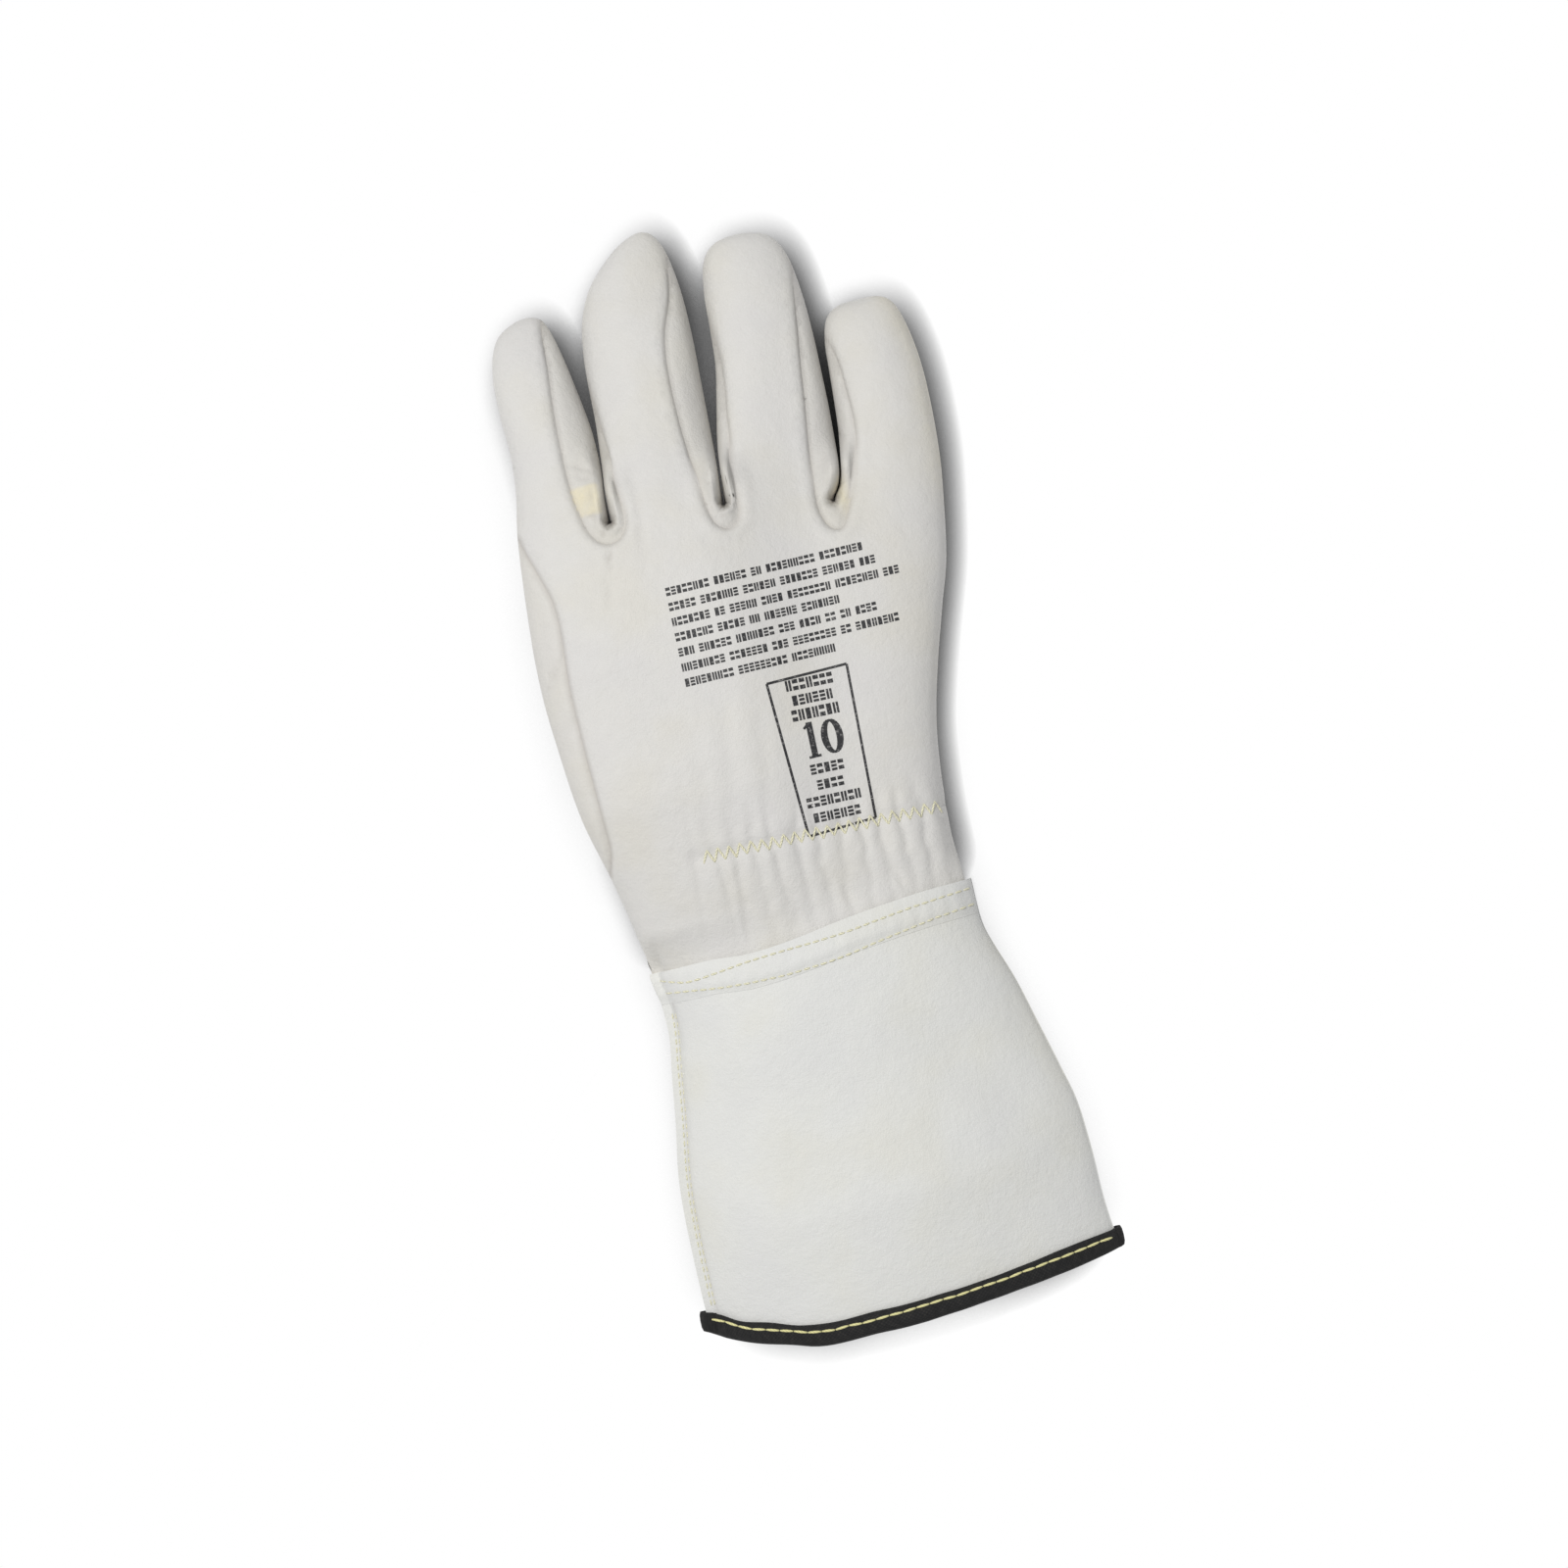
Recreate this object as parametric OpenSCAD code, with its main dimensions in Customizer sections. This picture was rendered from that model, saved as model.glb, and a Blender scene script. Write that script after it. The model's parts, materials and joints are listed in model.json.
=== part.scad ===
// Right-hand leather protector glove, worn over a rubber insulating glove.
// It lies palm down: +Z out of the back of the hand, +Y to the fingertips,
// +X to the little finger. The origin is under the middle of the glove, on the
// surface it lies on. Every leather panel is a thin shell between two skins.

/* [Leather] */
// Thickness of the leather panels
leather = 1.4; // [1:0.1:1.6]
// Gap between panels that are sewn edge to edge, in degrees round the section
seam_gap = 0.9; // [0.6:0.1:1.4]

/* [Hand] */
// Height of the hand's crown over the table
hand_h = 38; // [34:0.5:42]
// Height of the palm over the folded thumb
thumb_room = 13.2; // [13:0.1:14]
// Height of the cuff
cuff_h = 33; // [28:0.5:36]

/* [Fingers] */
// Thickness of a finger at its base
finger_base_h = 23; // [21:0.5:25]
// Thickness of a finger near its tip
finger_tip_h = 20; // [18:0.5:21]
// Curl of the knuckles towards the palm, in degrees
knuckle_curl = 70; // [40:1:75]
// Lift of the knuckles, in degrees
knuckle_lift = 15; // [5:1:20]
// Curl of the middle joints, in degrees
middle_curl = 75; // [40:1:80]
// Height of the knuckle hinges over a finger's underside
knuckle_z = 9; // [8:0.5:10]
// Height of the middle hinges over a finger's underside
middle_z = 8; // [7:0.5:9]

/* [Wrist and thumb] */
// Where the wrist bends
wrist_y = 128; // [126:1:130]
// Height of the wrist hinge
wrist_z = 17; // [15:0.5:19]
// Bend of the wrist each way, in degrees
wrist_bend = 30; // [10:1:30]
// Thickness of the folded thumb
thumb_h = 12.4; // [11:0.1:12.6]
// Bend of the thumb's tip towards the palm, in degrees
thumb_curl = 30; // [10:1:35]
// Bend of the thumb's tip away from the palm, in degrees
thumb_open = 10; // [5:1:15]

/* [Stitching] */
// Width of a sewing thread
thread_w = 0.8; // [0.6:0.1:1]
// How far a thread stands out of the leather
thread_h = 0.4; // [0.3:0.1:0.6]

/* [Hidden] */
// Glove frame to part frame: the middle of the outline goes over the origin
mid_x = -4.7;
mid_y = 161;
clear = 0.35;          // running gap between bodies, on each side of a hinge
tail_tuck = 2.5;       // how far the hand's tail lies inside the cuff
tail_y = 103;          // where the tail ends, inside the cuff
cuff_span = [-5, 113]; // the cuff panels' sections are taken between these
cuff_skin = 0.3;       // the cuff's skin under the glove's outline
hem_w = 7.4;           // width of the second layer on the cuff's upper edge
binding_t = 2.6;       // thickness of the folded tape
leather_col = [0.86, 0.85, 0.82];
palm_col = [0.84, 0.83, 0.78];
wall_col = [0.80, 0.79, 0.75];
cuff_col = [0.87, 0.87, 0.85];
trim_col = [0.86, 0.82, 0.66];
binding_col = [0.17, 0.16, 0.15];
thread_col = [0.93, 0.90, 0.66];

// Left and right edges of the glove at heights from cuff to fingers: [y, x]
left_edge = [[-13, -64.5], [10, -65], [40, -64.5], [60, -62], [90, -58], [104, -58.5], [120, -61],
    [140, -65], [160, -70], [180, -72.5], [200, -74], [220, -73.7], [250, -71]];
right_edge = [[-13, 64.5], [0, 63], [25, 62.3], [42, 60.5], [60, 56], [80, 50.5], [98, 44.3], [117, 42.5],
    [130, 40.3], [150, 41], [167, 43.3], [184, 47], [202, 52.5], [225, 58.5], [250, 61.8]];
// Top and underside along the glove: [y, z]
crown = [[-13, cuff_h - 4], [40, cuff_h], [100, cuff_h - 1], [128, 34], [170, hand_h], [215, hand_h - 3],
    [250, 31.5]];
recess = [[149, thumb_room], [226, thumb_room], [250, 9]];
// How square the section is, from lens-shaped cuff to full hand: [y, power]
side_pow = [[-13, 1], [100, 0.95], [150, 0.72], [250, 0.66]];
roof_pow = [[-13, 1.15], [100, 1.1], [150, 0.85], [250, 0.72]];
// Lower edge of the cuff, top of its binding and its upper edge: [x, y]
hem_low = [[-65, -2], [-50, -8.8], [-32, -13], [-20, -12.8], [20, -10], [50, -6], [65, -3]];
hem_high = [[-65, 4], [-50, -1.7], [-30, -6], [0, -5], [35, -1.5], [65, 3]];
cuff_top = [[-61, 109], [-30, 109.3], [0, 113.3], [20, 116], [44, 117.4]];

// Fingers: [name, hinge x, y, tip x, y, base half width, end half width,
//           underside at hinge, length to the middle hinge, seam angles right and left]
FINGERS = [
    ["index", -56.2, 250, -57.2, 316.5, 13.6, 12.6, 8.6, 31, 52, 150],
    ["middle", -23.2, 251, -23.6, 335, 17.2, 16.9, 8.2, 39, 56, 158],
    ["ring", 12.0, 247, 16.6, 328.2, 16.6, 15.4, 1.6, 38, 52, 158],
    ["pinky", 46.9, 243, 47.0, 300.5, 14.3, 13.2, 0, 27, -20, 140]];
// Bottoms of the gaps between the fingers: [x, y, radius, low z, high z]
CROTCHES = [[-43.5, 247, 5.2, 15, 25], [-6.5, 246, 4.2, 11, 24], [25.5, 241, 4, 5, 19]];
wall_low = -38;        // right wall's lower seam angle
left_low = 216;        // left wall's lower seam angle
round_len = 13;        // length of a finger's rounded end
PANELS = ["back", "front", "right_wall", "left_wall"];
// Index has no outer wall, because its front panel wraps round; nor has the little finger
function has_panel(k, p) = !(k == 0 && p == 3) && !(k == 3 && p == 2);

function finger_node(k, seg, p) = str(FINGERS[k][0], "_", ["lower", "upper"][seg], "_", PANELS[p]);
FINGER_NODES = [for (k = [0:3]) for (seg = [0, 1]) for (p = [0:3]) if (has_panel(k, p)) finger_node(k, seg, p)];

function mix(a, b, t) = a + (b - a) * t;
function spow(v, p) = sign(v) * pow(abs(v), p);
function ease(t) = let (c = min(1, max(0, t))) c * c * (3 - 2 * c);

// The glove's skin at y and angle f round the section, sunk by d: [x, z]
function underside(x, y) = y < 149.2 ? 0 : lookup(y, recess) * ease((18 - x) / 36);
function skin_pt(y, f, d) =
    let (l = lookup(y, left_edge) + d, r = lookup(y, right_edge) - d, half = (r - l) / 2,
        x = (l + r) / 2 + half * spow(cos(f), lookup(y, side_pow)),
        low = underside(x, y), rise = lookup(y, crown), bar = mix(low, rise, 0.46),
        up = (rise - d - bar) * spow(sin(f), lookup(y, roof_pow)),
        down = (bar - low - d) * min(1, 1.15 * pow(abs(sin(f)), 0.6)))
    [x, sin(f) >= 0 ? bar + up : bar - down];

// Closed shell between an outer and an inner grid of points
module shell(outer, inner) {
    n = len(outer);
    m = len(outer[0]);
    k = n * m;
    last = (n - 1) * m;
    points = concat([for (row = outer) each row], [for (row = inner) each row]);
    skins = [for (i = [0:n - 2]) for (j = [0:m - 2]) let (a = i * m + j, b = a + m) each
        [[a, a + 1, b + 1], [a, b + 1, b], [k + a, k + b + 1, k + a + 1], [k + a, k + b, k + b + 1]]];
    ends = [for (j = [0:m - 2]) each
        [[j + 1, j, k + j], [j + 1, k + j, k + j + 1],
         [last + j, last + j + 1, k + last + j + 1], [last + j, k + last + j + 1, k + last + j]]];
    sides = [for (i = [0:n - 2]) let (a = i * m, b = a + m, c = a + m - 1, e = b + m - 1) each
        [[a, b, k + b], [a, k + b, k + a], [e, c, k + c], [e, k + c, k + e]]];
    polyhedron(points, concat(skins, ends, sides), convexity = 6);
}

// Panel of the hand or cuff: angles f0 to f1, from skin depth d0 to d1, between two end curves.
// from_y and to_y are functions of [x, z]
module panel(y0, y1, f0, f1, d0, d1, rows, cols, from_y, to_y) {
    function grid(d) = [for (i = [0:rows]) [for (j = [0:cols])
        let (t = i / rows, p = skin_pt(mix(y0, y1, t), mix(f0, f1, j / cols), d))
        [p[0] - mid_x, mix(from_y(p), to_y(p), t) - mid_y, p[1]]]];
    shell(grid(d0), grid(d1));
}

// End curves of the hand and cuff panels
function wedge(z, zh, curl, lift) = clear + (z < zh ? (zh - z) * tan(curl / 2) : (z - zh) * tan(lift / 2));
knuckle_line = [for (f = FINGERS) for (w = [-f[5], f[5]]) [f[1] + w, f[2]]];
knuckle_low = [for (f = FINGERS) [f[1], f[7]]];
knuckles = function (p) lookup(p[0], knuckle_line)
    - wedge(p[1], lookup(p[0], knuckle_low) + knuckle_z, knuckle_curl, knuckle_lift);
wrist_up = function (p) wrist_y + wedge(p[1], wrist_z, wrist_bend, wrist_bend);
wrist_down = function (p) wrist_y - wedge(p[1], wrist_z, wrist_bend, wrist_bend);
at_y = function (y) function (p) y;
along = function (line, dy) function (p) lookup(p[0], line) + dy;

seam_right = -16;      // the back panel wraps round the little finger's side
seam_left = 143;       // seam between the back panel and the thumb's side
heel_y = 150;          // where the thumb opens under the palm
elastic_y = 141.5;     // middle of the wrist elastic
elastic_w = 7;         // its width
elastic_arc = [38, 142]; // its ends, in degrees round the section

module hand_back() {
    color(leather_col) panel(wrist_y, 250, seam_right + seam_gap, seam_left, 0, leather, 7, 14, wrist_up, knuckles);
}

module hand_palm() {
    color(palm_col) panel(heel_y, 250, seam_left + seam_gap, 360 + seam_right, 0, leather, 6, 20,
        at_y(heel_y), knuckles);
}

module palm_heel() {
    color(palm_col) panel(wrist_y, 149, seam_left + seam_gap, 360 + seam_right, 0, leather, 2, 20,
        wrist_up, at_y(heel_y - 0.4));
}

// Wall between the thumb's mouth and the low side of the palm; it stops under the palm's leather
module thumb_gusset() {
    steps = 8;
    x0 = -34;
    x1 = 8;
    under = 1.8;
    top = [for (i = [0:steps]) let (x = mix(x0, x1, i / steps)) [x - mid_x, underside(x, heel_y) - under]];
    color(wall_col) translate([0, heel_y + leather - mid_y, 0]) rotate([90, 0, 0]) linear_extrude(leather)
        polygon(concat([[x0 - mid_x, 0], [x1 - mid_x, 0]], [for (i = [steps:-1:0]) top[i]]));
}

// Round bottom of the side walls between two fingers: a U that opens to the fingertips
module crotch(k) {
    arc = 164;
    c = CROTCHES[k];
    color(trim_col) translate([c[0] - mid_x, c[1] - mid_y, c[3]]) rotate([0, 0, 270 - arc / 2])
        rotate_extrude(angle = arc, $fn = 48) translate([c[2] - leather, 0]) square([leather, c[4] - c[3]]);
}

module wrist_elastic() {
    depth = leather + 1.2;
    color(trim_col) panel(elastic_y - elastic_w / 2, elastic_y + elastic_w / 2, elastic_arc[0], elastic_arc[1],
        depth, depth + 1, 1, 12, at_y(elastic_y - elastic_w / 2), at_y(elastic_y + elastic_w / 2));
}

// Zigzag stitch that holds the elastic
module wrist_zigzag() {
    waves = 20;
    reach = 1.2;
    over = 0.1;
    function zig(dy, d) = [for (j = [0:waves])
        let (p = skin_pt(elastic_y, mix(elastic_arc[0], elastic_arc[1], j / waves), d))
        [p[0] - mid_x, elastic_y + (j % 2 == 0 ? reach : -reach) + dy - mid_y, p[1]]];
    function edges(d) = [for (s = [-0.5, 0.5]) zig(s * thread_w, d)];
    color(thread_col) shell(edges(-over - thread_h), edges(-over));
}

module tail_back() {
    color(leather_col) panel(tail_y, wrist_y, seam_gap, 180, tail_tuck, tail_tuck + leather, 3, 14,
        at_y(tail_y), wrist_down);
}

module tail_palm() {
    color(palm_col) panel(tail_y, wrist_y, 180 + seam_gap, 360, tail_tuck, tail_tuck + leather, 3, 14,
        at_y(tail_y), wrist_down);
}

// Half of the cuff, from its binding to its upper edge
module cuff_panel(f0, f1) {
    color(cuff_col) panel(cuff_span[0], cuff_span[1], f0 + 0.5 * seam_gap, f1 - 0.5 * seam_gap,
        cuff_skin, cuff_skin + leather, 8, 16, along(hem_high, 0.2), along(cuff_top, 0));
}

module cuff_back() {
    cuff_panel(0, 180);
}

module cuff_palm() {
    cuff_panel(180, 360);
}

// Second layer of leather along the cuff's upper edge
module cuff_hem() {
    over = 0.2;
    edge = 0.6;
    color(cuff_col) panel(cuff_span[1] - edge - hem_w, cuff_span[1] - edge, 4, 176, -over - 1, -over, 1, 16,
        along(cuff_top, -edge - hem_w), along(cuff_top, -edge));
}

// Woven tape folded over the cuff's lower edge; its ends meet at the left seam
module binding() {
    color(binding_col) panel(-13, -4, 180.6, 539.4, 0, binding_t, 1, 40, along(hem_low, 0), along(hem_high, 0));
}

// Row of sewing that follows a line of the skin
module sewing(y, f0, f1, d, line, dy, cols) {
    color(thread_col) panel(y, y, f0, f1, -d - thread_h, -d, 1, cols,
        along(line, dy - 0.5 * thread_w), along(line, dy + 0.5 * thread_w));
}

module binding_thread() {
    sewing(-7, 4, 176, 0.3, hem_high, -2.2, 20);
}

module cuff_thread_high() {
    sewing(110.8, 6, 174, 1.6, cuff_top, -2.2, 16);
}

module cuff_thread_low() {
    sewing(106.2, 6, 174, 1.6, cuff_top, -6.8, 16);
}

// Long seam up the cuff's thumb side
module side_thread() {
    color(thread_col) panel(6, 96, 164, 166, -0.1 - thread_h, 0, 8, 1, at_y(6), at_y(96));
}

// A finger's own frame starts at its knuckle hinge: s along it, x across, z up
function finger_len(k) = norm([FINGERS[k][3] - FINGERS[k][1], FINGERS[k][4] - FINGERS[k][2]]);
function finger_low(k, s) = FINGERS[k][7] * (1 - min(1, s / finger_len(k)));
function round_off(s, size, left) = let (e = max(0, s - size + round_len) / round_len)
    pow(1 - (1 - left) * pow(min(1, e), 2.4), 1 / 2.4);
function finger_pt(k, s, f, d) =
    let (g = FINGERS[k], size = finger_len(k), t = s / size, low = finger_low(k, s),
        half = mix(g[5], g[6], t) * round_off(s, size, 0.06) - d,
        tall = max(leather + 0.15, mix(finger_base_h, finger_tip_h, t) / 2 * round_off(s, size, 0.004)) - d,
        mid = low + mix(finger_base_h, finger_tip_h, t) / 2)
    [half * spow(cos(f), 0.8), mid + tall * spow(sin(f), 0.72)];

// Panel of a finger, between two hinges or from the middle hinge to the tip
module finger_panel(k, seg, p) {
    g = FINGERS[k];
    size = finger_len(k);
    right = g[9];
    left = g[10];
    low_r = k == 3 ? right : wall_low;
    low_l = k == 0 ? left : left_low;
    span = [[right, left], [low_l, 360 + low_r], [low_r, right], [left, low_l]][p];
    cols = max(3, round((span[1] - span[0]) / 17));
    rows = seg == 0 ? 3 : 7;
    dir = [g[3] - g[1], g[4] - g[2]] / size;
    function start(z) = seg == 0 ? wedge(z, g[7] + knuckle_z, knuckle_curl, knuckle_lift)
        : g[8] + wedge(z, finger_low(k, g[8]) + middle_z, middle_curl, 0);
    function stop(z, d) = seg == 0 ? g[8] - wedge(z, finger_low(k, g[8]) + middle_z, middle_curl, 0) : size - d;
    function place(x, s, z) = [g[1] + s * dir[0] + x * dir[1] - mid_x, g[2] + s * dir[1] - x * dir[0] - mid_y, z];
    function step(t) = seg == 0 ? t : 1 - pow(1 - t, 1.6);
    function grid(d) = [for (i = [0:rows]) [for (j = [0:cols])
        let (t = step(i / rows), s0 = seg == 0 ? 0 : g[8], s1 = seg == 0 ? g[8] : size,
            q = finger_pt(k, mix(s0, s1, t), mix(span[0] + seam_gap, span[1] - seam_gap, j / cols), d))
        place(q[0], mix(start(q[1]), stop(q[1], d), t), q[1])]];
    color([leather_col, palm_col, wall_col, wall_col][p]) shell(grid(0), grid(leather));
}

// The thumb lies folded under the palm; both its hinges are upright
thumb_swing_x = -64.5; // hinge at the thumb's base, on the seam
thumb_tip_y = 189;     // hinge in the thumb
thumb_end_y = 230;
thumb_half = 13.6;     // half of the thumb's width
thumb_x0 = -49.5;      // middle of the thumb at its base
thumb_x1 = -53.5;      // middle of the thumb at its end
thumb_taper = 2.6;     // how much thinner its end is

function thumb_pt(y, f, d) =
    let (t = (y - heel_y) / (thumb_end_y - heel_y), e = max(0, y - thumb_end_y + 14) / 14,
        cap = pow(1 - 0.94 * pow(min(1, e), 2.4), 1 / 2.4),
        thick = max(2 * leather + 0.4, mix(thumb_h, thumb_h - thumb_taper, t) * pow(1 - 0.996 * pow(min(1, e), 2.4), 1 / 2.4)),
        mid = mix(thumb_h, thumb_h - thumb_taper, t) / 2)
    [mix(thumb_x0, thumb_x1, t) + (thumb_half * cap - d) * spow(cos(f), 0.7),
     mid + (thick / 2 - d) * spow(sin(f), 0.7)];

module thumb_panel(seg, p) {
    span = [[0, 180], [180, 360]][p];
    rows = seg == 0 ? 3 : 6;
    y0 = seg == 0 ? heel_y : thumb_tip_y;
    y1 = seg == 0 ? thumb_tip_y : thumb_end_y;
    hinge_x = mix(thumb_x0, thumb_x1, (thumb_tip_y - heel_y) / (thumb_end_y - heel_y));
    function gap(x) = clear + (x > hinge_x ? (x - hinge_x) * tan(thumb_curl / 2) : (hinge_x - x) * tan(thumb_open / 2));
    function start(x) = seg == 0 ? heel_y + leather + 0.5 : thumb_tip_y + gap(x);
    function stop(x, d) = seg == 0 ? thumb_tip_y - gap(x) : thumb_end_y - d;
    function grid(d) = [for (i = [0:rows]) [for (j = [0:12])
        let (t = seg == 0 ? i / rows : 1 - pow(1 - i / rows, 1.6),
            q = thumb_pt(mix(y0, y1, t), mix(span[0] + seam_gap, span[1] - seam_gap, j / 12), d))
        [q[0] - mid_x, mix(start(q[0]), stop(q[0], d), t) - mid_y, q[1]]]];
    color([palm_col, wall_col][p]) shell(grid(0), grid(leather));
}

hand_back();
hand_palm();
palm_heel();
thumb_gusset();
crotch(0);  // crotch_1
crotch(1);  // crotch_2
crotch(2);  // crotch_3
wrist_elastic();
wrist_zigzag();
tail_back();
tail_palm();
cuff_back();
cuff_palm();
cuff_hem();
binding();
binding_thread();
cuff_thread_high();
cuff_thread_low();
side_thread();
thumb_panel(0, 0);  // thumb_lower_back
thumb_panel(0, 1);  // thumb_lower_front
thumb_panel(1, 0);  // thumb_upper_back
thumb_panel(1, 1);  // thumb_upper_front
for (k = [0:3]) for (seg = [0, 1]) for (p = [0:3]) if (has_panel(k, p))
    finger_panel(k, seg, p);
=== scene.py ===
"""Looks of a right-hand leather protector glove, lying palm down.

Lengths are millimetres in the glove's own frame: Y runs from the cuff (0) to the
fingertips, X from the thumb's side to the little finger, Z up from the table.
place() turns them into the row frame's metres.
"""

import json
import math

import bpy
import numpy as np
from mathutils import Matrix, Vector, noise
from mathutils.bvhtree import BVHTree
from mathutils.geometry import delaunay_2d_cdt


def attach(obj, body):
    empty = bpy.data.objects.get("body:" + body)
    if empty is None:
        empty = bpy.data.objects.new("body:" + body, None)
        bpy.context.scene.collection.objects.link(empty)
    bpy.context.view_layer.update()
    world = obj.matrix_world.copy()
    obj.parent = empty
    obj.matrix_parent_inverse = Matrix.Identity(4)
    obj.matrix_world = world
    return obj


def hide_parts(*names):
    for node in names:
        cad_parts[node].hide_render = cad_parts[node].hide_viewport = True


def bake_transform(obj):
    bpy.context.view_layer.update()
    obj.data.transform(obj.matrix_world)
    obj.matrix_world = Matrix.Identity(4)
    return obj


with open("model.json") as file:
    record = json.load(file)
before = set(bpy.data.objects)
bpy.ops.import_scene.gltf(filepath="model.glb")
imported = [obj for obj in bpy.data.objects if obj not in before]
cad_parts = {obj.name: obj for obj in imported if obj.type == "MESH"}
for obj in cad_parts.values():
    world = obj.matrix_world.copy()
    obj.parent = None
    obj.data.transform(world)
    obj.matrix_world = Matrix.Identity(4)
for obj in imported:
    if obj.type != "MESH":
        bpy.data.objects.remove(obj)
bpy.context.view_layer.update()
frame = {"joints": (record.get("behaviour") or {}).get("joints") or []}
JOINTS = {j["name"]: j for j in frame["joints"]}

# Two joints tie the glove's frame to the row frame
THUMB_SEAM_X = -64.5
WRIST_Y = 128.0
SHIFT = np.array([JOINTS["thumb_swing"]["pos_m"][0] * 1000 - THUMB_SEAM_X,
                  JOINTS["wrist"]["pos_m"][1] * 1000 - WRIST_Y, 0.0])
FINGERS = ("index", "middle", "ring", "pinky")
LEATHER = 1.2        # thickness of the panels
THINNED = 0.9        # share of that on the thumb, where the leather is finer
ABOVE_FLOOR = 0.02   # least height of anything that lies on the table


def place(points):
    return (np.asarray(points, float) + SHIFT) / 1000


def ease(t):
    t = np.clip(t, 0, 1)
    return t * t * (3 - 2 * t)


def bump(d, width):
    return np.exp(-(d / width) ** 2)


# ---------------------------------------------------------------- lines in the plane

def curve(points, step=1.2):
    """Smooth line through the points, with a vertex about every step."""
    p = np.array(points, float)
    p = np.vstack([2 * p[0] - p[1], p, 2 * p[-1] - p[-2]])
    out = []
    for a, b, c, d in zip(p, p[1:], p[2:], p[3:]):
        n = max(1, round(np.linalg.norm(c - b) / step))
        t = (np.arange(n) / n)[:, None]
        out.append(b + 0.5 * t * (c - a + t * (2 * a - 5 * b + 4 * c - d + t * (3 * (b - c) + d - a))))
    return np.vstack(out + [p[-2:-1]])


def evenly(line, pitch):
    """The line's points at even steps of about pitch, and the step's real length."""
    run = np.concatenate([[0], np.cumsum(np.linalg.norm(np.diff(line, axis=0), axis=1))])
    n = max(1, round(run[-1] / pitch))
    s = np.linspace(0, run[-1], n + 1)
    return np.stack([np.interp(s, run, line[:, k]) for k in range(line.shape[1])], 1), run[-1] / n


def nearest(line, pts):
    """Distance from each point to a line, and how far along the line that is."""
    a, b = line[:-1], line[1:]
    ab = b - a
    run = np.concatenate([[0], np.cumsum(np.linalg.norm(ab, axis=1))])
    size = np.maximum((ab ** 2).sum(1), 1e-12)
    best, along = np.zeros(len(pts)), np.zeros(len(pts))
    for k in range(0, len(pts), 1500):
        q = pts[k:k + 1500, None]
        t = np.clip(((q - a) * ab).sum(2) / size, 0, 1)
        d = np.linalg.norm(q - a - t[..., None] * ab, axis=2)
        i = d.argmin(1)
        rows = np.arange(len(i))
        best[k:k + 1500] = d[rows, i]
        along[k:k + 1500] = run[i] + t[rows, i] * (run[i + 1] - run[i])
    return best, along


def inside(poly, pts):
    x, y = pts[:, 0], pts[:, 1]
    hit = np.zeros(len(pts), bool)
    for (x0, y0), (x1, y1) in zip(poly, np.roll(poly, -1, 0)):
        if y0 != y1:
            hit ^= ((y0 > y) != (y1 > y)) & (x < (x1 - x0) * (y - y0) / (y1 - y0) + x0)
    return hit


def wobble(pts, size, seed):
    """Smooth noise from -1 to 1 over points, with lumps about size across."""
    return np.array([noise.noise(Vector((p[0] / size, p[1] / size, seed))) for p in pts])


# ---------------------------------------------------------------- the glove's outline

CROTCHES = ((-42.5, 248.0), (-7.0, 246.5), (26.3, 241.0))
LOBES = [
    [(-58.2, 103), (-59.5, 112), (-61, 120), (-65, 140), (-70, 160), (-72.5, 180), (-74, 200), (-73.7, 220),
     (-71.6, 248), (-69.3, 262), (-68.4, 275), (-69.1, 290), (-68.6, 302), (-65.6, 311), (-60, 315.2),
     (-54.5, 316.3), (-50.8, 315), (-48.6, 311), (-46.5, 303), (-44.4, 292), (-42.5, 280), (-41.9, 271),
     (-41.9, 264), (-42.4, 256), CROTCHES[0]],
    [CROTCHES[0], (-42, 255.5), (-41.5, 264), (-41.1, 271), (-40.6, 280), (-40.5, 292), (-39.9, 302),
     (-38, 312), (-33.5, 321.5), (-25, 330.3), (-18.5, 334.2), (-14, 334.8), (-10.6, 332.4), (-8, 326),
     (-6.3, 315), (-5.8, 300), (-6, 285), (-6.3, 270), (-6.6, 258), CROTCHES[1]],
    [CROTCHES[1], (-6.2, 256), (-5.1, 266), (-2.8, 278), (-0.6, 290), (0.1, 302), (0.5, 312), (2.1, 321),
     (5.6, 326), (11, 327.9), (18.5, 327.8), (24.4, 325.4), (28.2, 319), (30.2, 308), (31.1, 294),
     (31.2, 278), (30.9, 264), (30.2, 252), (28.9, 245.5), CROTCHES[2]],
    [CROTCHES[2], (29.3, 245.5), (30.9, 252), (32.6, 264), (33.5, 280), (34.1, 290), (36, 296.6), (40, 299.7),
     (46, 300.5), (53, 300.2), (57.3, 297.2), (59.9, 290), (61.8, 279), (62.3, 266), (61.8, 250),
     (60, 235), (56.7, 216), (52.4, 202), (47, 184), (43, 167), (41, 150), (40.3, 133), (41.2, 121),
     (41.4, 112), (40.6, 103)]]
OUTLINE = np.vstack([curve(lobe)[:-1] for lobe in LOBES] + [np.array([LOBES[3][-1]], float)])
WRIST_END = LOBES[0][0][1]

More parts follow.
